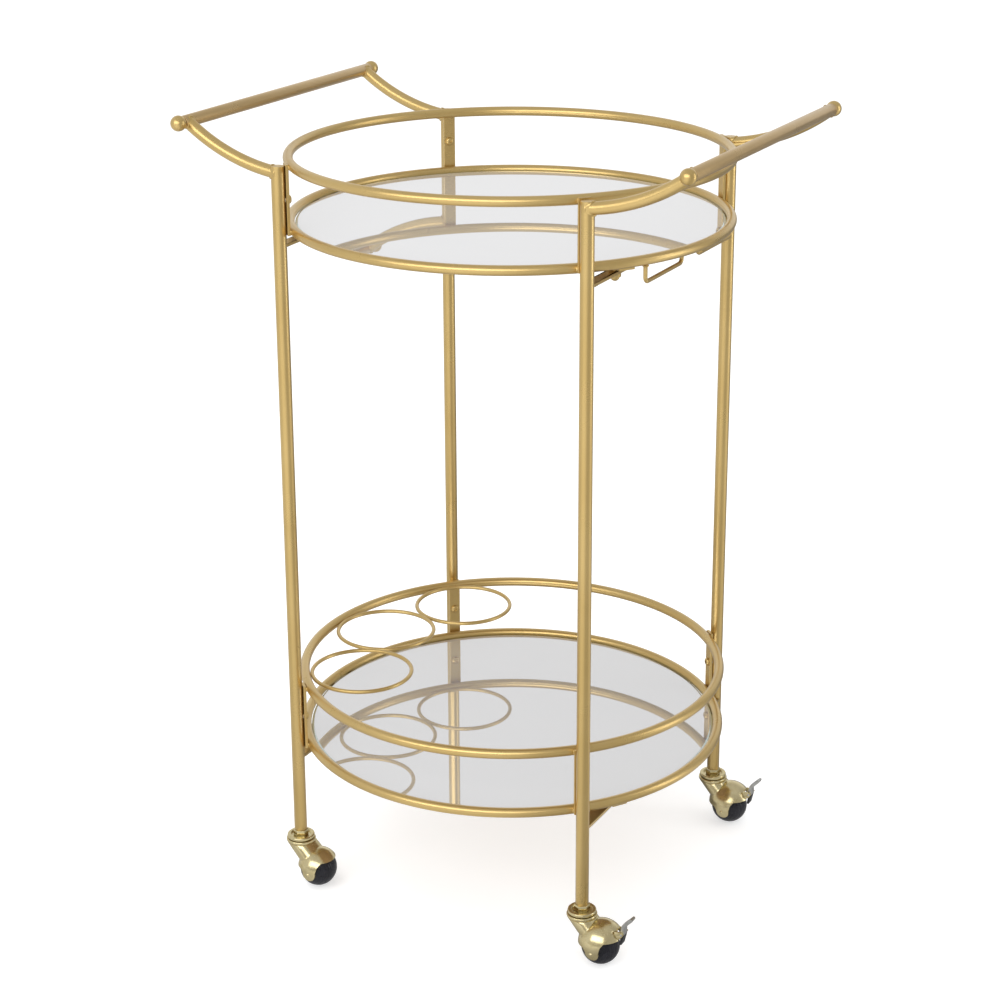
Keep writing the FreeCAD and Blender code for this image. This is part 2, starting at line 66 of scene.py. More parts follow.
MM = 0.001
TAU = 2 * math.pi
UP = Vector((0, 0, 1))
BACK = Vector((0, 1, 0))
SIDES = ("left", "right")
ROD_SIDES = 28
TUBE_STEPS = 36
RING_STEPS = 180
SMOOTH_ANGLE = math.radians(32)
ROUNDED_ANGLE = math.radians(40)


class Corner(Enum):
    """The cart's four corners, each with its name in the frame and its signs of X and Y."""

    FRONT_LEFT = ("front_left", -1, -1)
    REAR_LEFT = ("rear_left", -1, 1)
    FRONT_RIGHT = ("front_right", 1, -1)
    REAR_RIGHT = ("rear_right", 1, 1)

    @property
    def label(self) -> str:
        """Name of the corner as the frame's nodes and bodies have it."""
        return self.value[0]

    @property
    def sx(self) -> int:
        """Sign of the corner's X."""
        return self.value[1]

    @property
    def sy(self) -> int:
        """Sign of the corner's Y."""
        return self.value[2]

    @property
    def side(self) -> str:
        """Side of the cart that the corner is on."""
        return "right" if self.sx > 0 else "left"

    @property
    def swivel(self) -> Vector:
        """Point on the swivel axis of the corner's caster."""
        return joint_place("swivel_" + self.label)

    @property
    def outward(self) -> Vector:
        """Level direction from the cart's middle to the corner."""
        return Vector((self.swivel.x, self.swivel.y, 0)).normalized()


class Tray(Enum):
    """The cart's two trays."""

    TOP = "top"
    LOWER = "lower"


class Slot(Enum):
    """Material slots of the record."""

    PAINT = "gold_paint"
    BRASS = "polished_brass"
    BALL = "ball_black"
    MIRROR = "mirror_glass"
    BOARD = "backing_board"
    ZINC = "zinc_steel"
    BRAKE = "brake_steel"


@dataclass(frozen=True)
class Extent:
    """Space that one node of the frame fills at rest."""

    low: Vector
    high: Vector

    @property
    def centre(self) -> Vector:
        """Middle of the space."""
        return (self.low + self.high) / 2

    @property
    def size(self) -> Vector:
        """Lengths of the space along X, Y and Z."""
        return self.high - self.low


def extent(node: str) -> Extent:
    """Read a node's space from the frame.

    Args:
        node: Name of the node.

    Returns:
        Its lowest and highest corners.
    """
    return Extent(*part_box(node))


def joint_place(name: str) -> Vector:
    """Read where a joint of the frame turns.

    Args:
        name: Name of the joint.

    Returns:
        The joint's point at rest.
    """
    joint = next(j for j in frame["joints"] if j["name"] == name)
    return Vector(joint["pos_m"])


# ---------------------------------------------------------------- shapes


def turn_to(direction: Vector) -> Matrix:
    """Rotation that takes +Z to a direction.

    Args:
        direction: Where +Z goes.

    Returns:
        A 4 by 4 rotation.
    """
    return direction.to_track_quat("Z", "Y").to_matrix().to_4x4()


def ring_shape(ring_r: float, rod_r: float, steps: int = RING_STEPS) -> BMesh:
    """Closed ring of round rod, lying flat about the origin.

    Args:
        ring_r: Radius of the rod's centre line.
        rod_r: Radius of the rod.
        steps: Divisions round the ring.

    Returns:
        The ring's mesh.
    """
    shape = bmesh.new()
    section = bmesh.ops.create_circle(shape, segments=ROD_SIDES, radius=rod_r)
    stand = Matrix.Translation((ring_r, 0, 0)) @ Matrix.Rotation(math.pi / 2, 4, "X")
    bmesh.ops.transform(shape, matrix=stand, verts=section["verts"])
    bmesh.ops.spin(shape, geom=shape.verts[:] + shape.edges[:], cent=(0, 0, 0), axis=UP,
                   angle=TAU, steps=steps, use_merge=True)
    bmesh.ops.recalc_face_normals(shape, faces=shape.faces)
    return shape


def lathe_shape(profile: list[tuple[float, float]], steps: int = 48, closed: bool = False) -> BMesh:
    """Turn a profile of (radius, height) points about +Z.

    Args:
        profile: Points from one end of the profile to the other.
        steps: Divisions round the axis.
        closed: Whether the last point joins the first, as on a washer.

    Returns:
        The turned mesh, its poles merged.
    """
    shape = bmesh.new()
    points = [shape.verts.new((r, 0, z)) for r, z in profile]
    pairs = list(zip(points, points[1:]))
    if closed:
        pairs.append((points[-1], points[0]))
    for one, other in pairs:
        shape.edges.new((one, other))
    bmesh.ops.spin(shape, geom=shape.verts[:] + shape.edges[:], cent=(0, 0, 0), axis=UP,
                   angle=TAU, steps=steps, use_merge=True)
    bmesh.ops.remove_doubles(shape, verts=shape.verts, dist=1e-6)
    bmesh.ops.recalc_face_normals(shape, faces=shape.faces)
    return shape


def arc_points(centre: tuple[float, float], radius: float, start: float, end: float,
               steps: int) -> list[tuple[float, float]]:
    """Points of a round stretch of a profile.

    Args:
        centre: Centre of the arc as (radius, height).
        radius: Radius of the arc.
        start: First angle in degrees, from the radius axis.
        end: Last angle in degrees.
        steps: Number of divisions.

    Returns:
        The arc's points.
    """
    turns = [math.radians(start + (end - start) * i / steps) for i in range(steps + 1)]
    return [(centre[0] + radius * math.cos(t), centre[1] + radius * math.sin(t)) for t in turns]


def hexagon_shape(flats: float, height: float, edge: float) -> BMesh:
    """Hexagonal nut blank standing on the origin, its rims chamfered.

    Args:
        flats: Width across the flats.
        height: Height of the blank.
        edge: Width of the chamfer.

    Returns:
        The nut's mesh.
    """
    shape = bmesh.new()
    corner_r = flats / 2 / math.cos(math.pi / 6)
    bmesh.ops.create_circle(shape, segments=6, radius=corner_r, cap_ends=True)
    lift = bmesh.ops.extrude_face_region(shape, geom=shape.faces[:])
    top = [v for v in lift["geom"] if isinstance(v, BMVert)]
    bmesh.ops.translate(shape, vec=UP * height, verts=top)
    bmesh.ops.recalc_face_normals(shape, faces=shape.faces)
    rims = [e for e in shape.edges if abs(e.verts[0].co.z - e.verts[1].co.z) < 1e-7]
    bmesh.ops.bevel(shape, geom=rims, offset=edge, affect="EDGES", segments=2, profile=0.5, material=-1)
    return shape


def blob_shape(size: Vector, seed: float) -> BMesh:
    """Small uneven dome of weld metal about the origin.

    Args:
        size: Half lengths along X, Y and Z.
        seed: Place in the noise that makes each blob differ.

    Returns:
        The blob's mesh.
    """
    shape = bmesh.new()
    bmesh.ops.create_icosphere(shape, subdivisions=3, radius=1.0)
    for vert in shape.verts:
        vert.co *= 1.0 + 0.22 * noise.noise(vert.co * 1.7 + Vector((seed, 0, 0)))
    bmesh.ops.scale(shape, vec=size, verts=shape.verts)
    return shape


class RodBender:
    """Bends a round rod or tube from a start point by straight runs and arcs."""

    def __init__(self, radius: float, start: Vector, heading: Vector, sides: int = ROD_SIDES) -> None:
        """Cut the rod's first end.

        Args:
            radius: Radius of the rod.
            start: Centre of the first end.
            heading: Direction in which the rod sets out.
            sides: Sides of the rod's section.
        """
        self.shape = bmesh.new()
        self.place = start.copy()
        self.heading = heading.normalized()
        made = bmesh.ops.create_circle(self.shape, segments=sides, radius=radius, cap_ends=True)
        place = Matrix.Translation(start) @ turn_to(self.heading)
        bmesh.ops.transform(self.shape, matrix=place, verts=made["verts"])
        self.rim = self.shape.edges[:]

    def run(self, length: float) -> "RodBender":
        """Add a straight run.

        Args:
            length: Length of the run.

        Returns:
            The bender itself.
        """
        made = bmesh.ops.extrude_edge_only(self.shape, edges=self.rim)["geom"]
        move = self.heading * length
        ends = [v for v in made if isinstance(v, BMVert)]
        bmesh.ops.translate(self.shape, vec=move, verts=ends)
        self.rim = self._rim_of(made)
        self.place += move
        return self

    def bend(self, angle: float, bend_r: float, toward: Vector, steps: int = 10) -> "RodBender":
        """Add an arc.

        Args:
            angle: Turn in radians.
            bend_r: Radius of the centre line.
            toward: Direction from the rod to the arc's centre.
            steps: Divisions along the arc.

        Returns:
            The bender itself.
        """
        side = toward.normalized()
        centre = self.place + side * bend_r
        axis = self.heading.cross(side).normalized()
        verts = list({v for e in self.rim for v in e.verts})
        made = bmesh.ops.spin(self.shape, geom=verts + self.rim, cent=centre, axis=axis,
                              angle=angle, steps=steps)
        self.rim = self._rim_of(made["geom_last"])
        turn = Matrix.Rotation(angle, 3, axis)
        self.place = centre + turn @ (self.place - centre)
        self.heading = turn @ self.heading
        return self

    def finish(self) -> BMesh:
        """Close the last end.

        Returns:
            The rod's mesh.
        """
        bmesh.ops.contextual_create(self.shape, geom=self.rim)
        bmesh.ops.remove_doubles(self.shape, verts=self.shape.verts, dist=1e-6)
        bmesh.ops.recalc_face_normals(self.shape, faces=self.shape.faces)
        return self.shape

    @staticmethod
    def _rim_of(geom: list) -> list[BMEdge]:
        """Edges among the geometry that an operator made last."""
        return [e for e in geom if isinstance(e, BMEdge)]


class Bench:
    """Collects shapes into one mesh and makes a piece of it."""

    def __init__(self) -> None:
        """Start with nothing on the bench."""
        self.mesh = bmesh.new()

    def add(self, shape: BMesh, place: Matrix | None = None, finish: int = 0) -> "Bench":
        """Put one shape in its place on the bench.

        Args:
            shape: The shape, which is used up.
            place: Where it goes; where it is if left out.
            finish: Index of the material that its faces take.

        Returns:
            The bench itself.
        """
        if place is not None:
            bmesh.ops.transform(shape, matrix=place, verts=shape.verts)
        for face in shape.faces:
            face.material_index = max(finish, face.material_index)
        passing = bpy.data.meshes.new("passing")
        shape.to_mesh(passing)
        shape.free()
        self.mesh.from_mesh(passing)
        bpy.data.meshes.remove(passing)
        return self

    def piece(self, name: str, materials: list[Material], replaces: tuple[str, ...] = (),
              body: str = "frame", slot: Slot = Slot.PAINT, angle: float = SMOOTH_ANGLE) -> Object:
        """Make the finished piece.

        Args:
            name: Name of the piece.
            materials: Its materials, by face index.
            replaces: Nodes of the frame that it stands for.
            body: Body of the frame that it rides on.
            slot: Not used.
            angle: Edges sharper than this stay crisp.

        Returns:
            The piece's object.
        """
        for face in self.mesh.faces:
            face.smooth = True
        mesh = bpy.data.meshes.new(name)
        self.mesh.to_mesh(mesh)
        self.mesh.free()
        mesh.set_sharp_from_angle(angle=angle)
        for material in materials:
            mesh.materials.append(material)
        piece = bpy.data.objects.new(name, mesh)
        bpy.context.scene.collection.objects.link(piece)
        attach(piece, body)
        if replaces:
            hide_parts(*replaces)
        LOG.info("%s: %d faces on %s", name, len(mesh.polygons), body)
        return piece


def merged_copy(node: str) -> BMesh:
    """Copy a node of the frame with its loose triangles joined.

    Args:
        node: Name of the node.

    Returns:
        The joined mesh.
    """
    shape = bmesh.new()
    shape.from_mesh(frame["nodes"][node].data)
    bmesh.ops.remove_doubles(shape, verts=shape.verts, dist=2e-6)
    for layer in list(shape.loops.layers.uv):
        shape.loops.layers.uv.remove(layer)
    return shape


def pressed_piece(node: str, name: str, materials: list[Material], edge: float,
                  body: str = "frame", slot: Slot = Slot.PAINT,
                  shape: BMesh | None = None) -> Object:
    """Stand a smooth piece in for a node, its edges rounded by a modifier.

    Args:
        node: Node that the piece replaces.
        name: Name of the piece.
        materials: Its materials.
        edge: Width of its rounded edges.
        body: Body that it rides on.
        slot: Not used; it is only passed on to Bench.piece.
        shape: Its mesh; a joined copy of the node if left out.

    Returns:
        The piece's object.
    """
    mesh = merged_copy(node) if shape is None else shape
    piece = Bench().add(mesh).piece(name, materials, (node,), body, slot)
    rounding = piece.modifiers.new("rounded_edges", "BEVEL")
    rounding.width = edge
    rounding.segments = 2
    rounding.limit_method = "ANGLE"
    rounding.angle_limit = ROUNDED_ANGLE
    rounding.harden_normals = True
    return piece


# ---------------------------------------------------------------- materials


class NodeSheet:
    """Short hand for laying out a node tree."""

    def __init__(self, tree: NodeTree) -> None:
        """Work on one tree.

        Args:
            tree: The tree to lay nodes in.
        """
        self.tree = tree

    def node(self, kind: str, **settings: object) -> Node:
        """Add a node.

        Args:
            kind: The node's type, without its ShaderNode prefix.
            **settings: Properties of the node.

        Returns:
            The node.
        """
        made = self.tree.nodes.new("ShaderNode" + kind)
        for key, value in settings.items():
            setattr(made, key, value)
        return made

    def link(self, source: NodeSocket, target: NodeSocket) -> None:
        """Join two sockets."""
        self.tree.links.new(source, target)

    def maths(self, operation: str, one: object, other: object = 0.0, clamp: bool = False) -> NodeSocket:
        """Add a Math node.

        Args:
            operation: Its operation.
            one: First input, a socket or a number.
            other: Second input, a socket or a number.
            clamp: Whether the result is kept from 0 to 1.

        Returns:
            Its output socket.
        """
        made = self.node("Math", operation=operation, use_clamp=clamp)
        for socket, value in zip(made.inputs, (one, other)):
            self.feed(socket, value)
        return made.outputs[0]

    def scaled(self, value: NodeSocket, gain: float, least: float = 0.0) -> NodeSocket:
        """Multiply a value and raise it.

        Args:
            value: Value to scale.
            gain: What it is multiplied by.
            least: What is added to it.

        Returns:
            The scaled value's socket.
        """
        product = self.maths("MULTIPLY", value, gain)
        return self.maths("ADD", product, least) if least else product

    def grain(self, size: NodeSocket) -> NodeSocket:
        """Texture scale that gives features of a size in millimetres."""
        return self.maths("DIVIDE", 1.0 / MM, size)

    def feed(self, socket: NodeSocket, value: object) -> None:
        """Link a socket or set its value.

        Args:
            socket: The input.
            value: A socket, or a plain value.
        """
        if isinstance(value, NodeSocket):
            self.link(value, socket)
        else:
            socket.default_value = value

    def noise(self, vector: NodeSocket, scale: object, detail: float = 3.0,
              roughness: float = 0.5) -> NodeSocket:
        """Add a noise texture.

        Args:
            vector: Coordinates.
            scale: Scale, a socket or a number.
            detail: Octaves.
            roughness: Strength of the finer octaves.

        Returns:
            Its value socket.
        """
        made = self.node("TexNoise")
        made.inputs["Detail"].default_value = detail
        made.inputs["Roughness"].default_value = roughness
        self.link(vector, made.inputs["Vector"])
        self.feed(made.inputs["Scale"], scale)
        return made.outputs[0]

    def blend(self, factor: object, one: object, other: object) -> NodeSocket:
        """Mix two colours.

        Args:
            factor: Share of the second colour.
            one: First colour, a socket or four numbers.
            other: Second colour, a socket or four numbers.

        Returns:
            The mixed colour's socket.
        """
        made = self.node("Mix", data_type="RGBA")
        self.feed(made.inputs[0], factor)
        self.feed(made.inputs[6], one)
        self.feed(made.inputs[7], other)
        return made.outputs[2]

    def spread(self, value: NodeSocket, low: float, high: float, to_low: float = 0.0,
               to_high: float = 1.0) -> NodeSocket:
        """Map a range of values to another, clamped.

        Args:
            value: Value to map.
            low: Value that becomes to_low.
            high: Value that becomes to_high.
            to_low: First result.
            to_high: Last result.

        Returns:
            The mapped value's socket.
        """
        made = self.node("MapRange")
        self.link(value, made.inputs["Value"])
        made.inputs["From Min"].default_value = low
        made.inputs["From Max"].default_value = high
        made.inputs["To Min"].default_value = to_low
        made.inputs["To Max"].default_value = to_high
        return made.outputs["Result"]


class Effect:
    """A shared effect: a node group with named inputs and outputs."""

    def __init__(self, name: str, inputs: dict[str, tuple[str, float]], outputs: dict[str, str]) -> None:
        """Make the group and its sockets.

        Args:
            name: Name of the group.
            inputs: Socket name to its type and default.
            outputs: Socket name to its type.
        """
        self.group = bpy.data.node_groups.new(name, "ShaderNodeTree")
        for label, (kind, default) in inputs.items():
            socket = self.group.interface.new_socket(label, in_out="INPUT", socket_type="NodeSocket" + kind)
            if kind == "Float":
                socket.default_value = default
        for label, kind in outputs.items():
            self.group.interface.new_socket(label, in_out="OUTPUT", socket_type="NodeSocket" + kind)
        self.sheet = NodeSheet(self.group)
        self.start = self.group.nodes.new("NodeGroupInput")
        self.end = self.group.nodes.new("NodeGroupOutput")

    def place(self, sheet: NodeSheet, vector: NodeSocket, **values: float) -> Node:
        """Use the effect in a material.

        Args:
            sheet: The material's sheet.
            vector: Coordinates that it reads.
            **values: Numbers for its named inputs, with spaces as underscores.

        Returns:
            The group's node.
        """
        made = sheet.node("Group")
        made.node_tree = self.group
        sheet.link(vector, made.inputs["Vector"])
        for label, value in values.items():
            made.inputs[label.replace("_", " ")].default_value = value
        return made


def make_spray_effect() -> Effect:
    """Sprayed paint: soft unevenness of tone, metal flake and orange peel.

    Returns:
        The effect.
    """
    effect = Effect("sprayed_coat", {"Vector": ("Vector", 0), "Flake Size": ("Float", 0.4),
                                     "Peel Size": ("Float", 2.5)},
                    {"Tone": "Float", "Flake": "Float", "Height": "Float"})
    sheet, start = effect.sheet, effect.start
    tone = sheet.spread(sheet.noise(start.outputs["Vector"], 14.0, 2.0), 0.35, 0.65)
    sheet.link(tone, effect.end.inputs["Tone"])
    flakes = sheet.noise(start.outputs["Vector"], sheet.grain(start.outputs["Flake Size"]), 1.0)
    flake = sheet.spread(flakes, 0.42, 0.62)
    sheet.link(flake, effect.end.inputs["Flake"])
    peel = sheet.noise(start.outputs["Vector"], sheet.grain(start.outputs["Peel Size"]), 2.0)
    height = sheet.maths("ADD", peel, sheet.scaled(flake, 0.12))
    sheet.link(height, effect.end.inputs["Height"])
    return effect


def make_handling_effect() -> Effect:
    """Handling marks: broad smears and fine hair scratches.

    Returns:
        The effect.
    """
    effect = Effect("handling_marks", {"Vector": ("Vector", 0), "Smear Size": ("Float", 60.0),
                                       "Scratch Size": ("Float", 1.0)},
                    {"Smear": "Float", "Scratch": "Float"})
    sheet, start = effect.sheet, effect.start
    smear = sheet.noise(start.outputs["Vector"], sheet.grain(start.outputs["Smear Size"]), 5.0, 0.62)
    sheet.link(sheet.spread(smear, 0.38, 0.72), effect.end.inputs["Smear"])
    stretch = sheet.node("Mapping")
    stretch.inputs["Rotation"].default_value = (0.3, 0.2, 0.7)
    stretch.inputs["Scale"].default_value = (1.0, 14.0, 6.0)
    sheet.link(start.outputs["Vector"], stretch.inputs["Vector"])
    scratch_length = sheet.scaled(start.outputs["Scratch Size"], 12.0)
    scratch = sheet.noise(stretch.outputs["Vector"], sheet.grain(scratch_length), 2.0)
    sheet.link(sheet.spread(scratch, 0.60, 0.72), effect.end.inputs["Scratch"])
    return effect


def make_dust_effect() -> Effect:
    """Dust: a thin patchy film that settles on faces that look up.

    Returns:
        The effect.
    """
    effect = Effect("settled_dust", {"Vector": ("Vector", 0), "Amount": ("Float", 0.2)}, {"Film": "Float"})
    sheet, start = effect.sheet, effect.start
    normal = sheet.node("TexCoord")
    split = sheet.node("SeparateXYZ")
    sheet.link(normal.outputs["Normal"], split.inputs[0])
    facing_up = sheet.spread(split.outputs["Z"], 0.35, 1.0)
    patches = sheet.spread(sheet.noise(start.outputs["Vector"], 45.0, 6.0, 0.7), 0.35, 0.75)
    film = sheet.maths("MULTIPLY", facing_up, patches)
    sheet.link(sheet.maths("MULTIPLY", film, start.outputs["Amount"], clamp=True), effect.end.inputs["Film"])
    return effect


@dataclass(frozen=True)
class Effects:
    """The effects that the finishes share."""

    spray: Effect
    handling: Effect
    dust: Effect


class FinishBase:
    """What every finish has: a material, its sheet, its shader, its coordinates and handling marks."""

    def begin(self, name: str, effects: Effects, smear: float, scratch: float) -> None:
        """Make a material with a shader and handling marks.

        Args:
            name: Name of the material.
            effects: The shared effects.
            smear: Size of its smears in millimetres.
            scratch: Size of its scratches in millimetres.
        """
        self.material = bpy.data.materials.new(name)
        self.material.use_nodes = True
        tree = self.material.node_tree
        tree.nodes.clear()
        self.sheet = NodeSheet(tree)
        self.shader = self.sheet.node("BsdfPrincipled")
        output = self.sheet.node("OutputMaterial")
        self.sheet.link(self.shader.outputs[0], output.inputs["Surface"])
        self.coords = self.sheet.node("TexCoord").outputs["Object"]
        marks = effects.handling.place(self.sheet, self.coords, Smear_Size=smear, Scratch_Size=scratch)
        self.smear, self.scratch = marks.outputs["Smear"], marks.outputs["Scratch"]

    def colour(self, source: NodeSocket) -> None:
        """Give the surface its colour."""
        self.sheet.link(source, self.shader.inputs["Base Color"])

    def rough(self, source: NodeSocket) -> None:
        """Give the surface its roughness."""
        self.sheet.link(source, self.shader.inputs["Roughness"])

    def relief(self, height: NodeSocket, depth: float) -> None:
        """Give the surface relief.

        Args:
            height: Height from 0 to 1.
            depth: Depth of the relief in metres.
        """
        bump = self.sheet.node("Bump")
        bump.inputs["Strength"].default_value = 1.0
        bump.inputs["Distance"].default_value = depth
        self.sheet.link(height, bump.inputs["Height"])
        self.sheet.link(bump.outputs[0], self.shader.inputs["Normal"])

    def constant(self, **values: float) -> None:
        """Set plain numbers on the shader, with spaces in their names as underscores."""
        for label, value in values.items():
            self.shader.inputs[label.replace("_", " ")].default_value = value


@dataclass(frozen=True)
class GoldTone:
    """Colours of the sprayed gold coat."""

    light: Colour = (0.650, 0.470, 0.190, 1.0)
    deep: Colour = (0.565, 0.392, 0.138, 1.0)
    dust: Colour = (0.60, 0.56, 0.48, 1.0)


@dataclass(frozen=True)
class HandleShadeTone(GoldTone):
    """Colours of the gold coat on the handle tubes, darker and pinker than the rest: painted shade that
    stands in for how the handles are lit.
    """

    light: Colour = (0.635, 0.452, 0.218, 1.0)
    deep: Colour = (0.545, 0.375, 0.166, 1.0)


class GoldPaint(FinishBase):
    """Satin champagne gold metallic paint."""

    def __init__(self, effects: Effects, name: str = "satin_gold_paint", tone: GoldTone = GoldTone()) -> None:
        """Lay out the paint.

        Args:
            effects: The shared effects.
            name: Name of the material.
            tone: Its colours.
        """
        self.begin(name, effects, smear=45.0, scratch=1.2)
        sheet = self.sheet
        spray = effects.spray.place(sheet, self.coords, Flake_Size=0.35, Peel_Size=2.2)
        dust = effects.dust.place(sheet, self.coords, Amount=0.10)
        base = sheet.blend(sheet.scaled(spray.outputs["Tone"], 0.6), tone.light, tone.deep)
        flaked = sheet.blend(sheet.scaled(spray.outputs["Flake"], 0.35), base, tone.deep)
        self.colour(sheet.blend(dust.outputs["Film"], flaked, tone.dust))
        smeared = sheet.scaled(self.smear, 0.06, 0.27)
        self.rough(sheet.maths("ADD", smeared, sheet.scaled(spray.outputs["Flake"], 0.05)))
        self.relief(spray.outputs["Height"], 0.00004)
        self.constant(Metallic=0.92, Coat_Weight=0.22, Coat_Roughness=0.28)


class Brass(FinishBase):
    """Polished brass plate with faint wipe marks."""

    def __init__(self, effects: Effects) -> None:
        """Lay out the brass.

        Args:
            effects: The shared effects.
        """
        self.begin("polished_brass_plate", effects, smear=9.0, scratch=0.5)
        sheet = self.sheet
        dust = effects.dust.place(sheet, self.coords, Amount=0.12)
        base = sheet.blend(self.smear, (0.72, 0.62, 0.36, 1.0), (0.60, 0.50, 0.26, 1.0))
        self.colour(sheet.blend(dust.outputs["Film"], base, (0.55, 0.52, 0.44, 1.0)))
        smeared = sheet.scaled(self.smear, 0.08, 0.19)
        self.rough(sheet.maths("ADD", smeared, sheet.scaled(self.scratch, 0.06)))
        self.relief(self.scratch, 0.000012)
        self.constant(Metallic=1.0)


class BallPlastic(FinishBase):
    """Moulded black plastic, polished by rolling."""

    def __init__(self, effects: Effects) -> None:
        """Lay out the plastic.

        Args:
            effects: The shared effects.
        """
        self.begin("black_ball_plastic", effects, smear=12.0, scratch=0.8)
        sheet = self.sheet
        base = sheet.blend(self.smear, (0.007, 0.007, 0.010, 1.0), (0.016, 0.016, 0.021, 1.0))
        self.colour(sheet.blend(sheet.scaled(self.scratch, 0.3), base, (0.06, 0.06, 0.06, 1.0)))
        self.rough(sheet.scaled(self.smear, 0.12, 0.24))
        self.relief(self.scratch, 0.00003)
        self.constant(Specular_IOR_Level=0.3)


class MirrorGlass(FinishBase):
    """Silvered glass under a faint milky film."""

    def __init__(self, effects: Effects) -> None:
        """Lay out the mirror.

        Args:
            effects: The shared effects.
        """
        self.begin("silvered_glass", effects, smear=90.0, scratch=2.0)
        dust = effects.dust.place(self.sheet, self.coords, Amount=0.05)
        self.colour(self.sheet.blend(dust.outputs["Film"], (0.76, 0.76, 0.77, 1.0), (0.70, 0.70, 0.70, 1.0)))
        self.rough(self.sheet.scaled(self.smear, 0.012, 0.008))
        self.constant(Metallic=0.72)


class MirrorEdge(FinishBase):
    """Polished edge of the mirror's glass, faintly green."""

    def __init__(self, effects: Effects) -> None:
        """Lay out the edge.

        Args:
            effects: The shared effects.
        """
        self.begin("polished_glass_edge", effects, smear=6.0, scratch=0.6)
        self.colour(self.sheet.blend(self.smear, (0.66, 0.72, 0.69, 1.0), (0.52, 0.60, 0.57, 1.0)))
        self.rough(self.sheet.scaled(self.scratch, 0.1, 0.08))
        self.constant(Metallic=0.75)


class Fibreboard(FinishBase):
    """Plain brown fibreboard."""

    def __init__(self, effects: Effects) -> None:
        """Lay out the board.

        Args:
            effects: The shared effects.
        """
        self.begin("brown_fibreboard", effects, smear=20.0, scratch=0.7)
        sheet = self.sheet
        fibres = sheet.noise(self.coords, 900.0, 5.0, 0.7)
        base = sheet.blend(fibres, (0.20, 0.125, 0.07, 1.0), (0.36, 0.25, 0.155, 1.0))
        self.colour(sheet.blend(sheet.scaled(self.smear, 0.4), base, (0.30, 0.21, 0.13, 1.0)))
        self.rough(sheet.spread(fibres, 0.3, 0.7, 0.7, 0.9))
        self.relief(fibres, 0.0001)


class PlainSteel(FinishBase):
    """Bright plated or bare steel with drawn lines."""

    def __init__(self, effects: Effects, name: str, light: float, dark: float, least: float) -> None:
        """Lay out the steel.

        Args:
            effects: The shared effects.
            name: Name of the material.
            light: Brightness of its light patches.
            dark: Brightness of its dark patches.
            least: Its least roughness.
        """
        self.begin(name, effects, smear=7.0, scratch=0.35)
        patches = ((light, light, light * 0.97, 1.0), (dark, dark, dark * 0.94, 1.0))
        self.colour(self.sheet.blend(self.smear, *patches))
        self.rough(self.sheet.scaled(self.scratch, 0.15, least))
        self.relief(self.scratch, 0.00002)
        self.constant(Metallic=1.0)


class BlackDip(FinishBase):
    """Black rubbery dip on the brake's shoe."""

    def __init__(self, effects: Effects) -> None:
        """Lay out the dip.

        Args:
            effects: The shared effects.
        """
        self.begin("black_dip", effects, smear=4.0, scratch=0.4)
        self.colour(self.sheet.blend(self.smear, (0.008, 0.008, 0.009, 1.0), (0.022, 0.022, 0.024, 1.0)))
        self.rough(self.sheet.scaled(self.smear, 0.2, 0.4))
        self.relief(self.smear, 0.00005)


class Finishes:
    """All the materials of the cart."""

    def __init__(self) -> None:
        """Make each finish once."""
        effects = Effects(make_spray_effect(), make_handling_effect(), make_dust_effect())
        self.gold = GoldPaint(effects).material
        # The handle tubes take a darker, pinker copy of the gold paint: painted shade.
        self.grip = GoldPaint(effects, "handle_shaded_gold_paint", HandleShadeTone()).material
        self.brass = Brass(effects).material
        self.ball = BallPlastic(effects).material
        self.mirror = MirrorGlass(effects).material
        self.mirror_edge = MirrorEdge(effects).material
        self.board = Fibreboard(effects).material
        self.zinc = PlainSteel(effects, "zinc_plate", 0.62, 0.50, 0.26).material
        self.steel = PlainSteel(effects, "bare_brake_steel", 0.56, 0.44, 0.30).material
        self.dip = BlackDip(effects).material

    def dress_node(self, node: str, material: Material) -> None:
        """Give a carried-over node its finish.

        Args:
            node: Name of the node.
            material: Its material.
        """
        mesh = frame["nodes"][node].data
        mesh.materials.clear()
        mesh.materials.append(material)
        LOG.info("%s: dressed in %s", node, material.name)


# ---------------------------------------------------------------- the cart


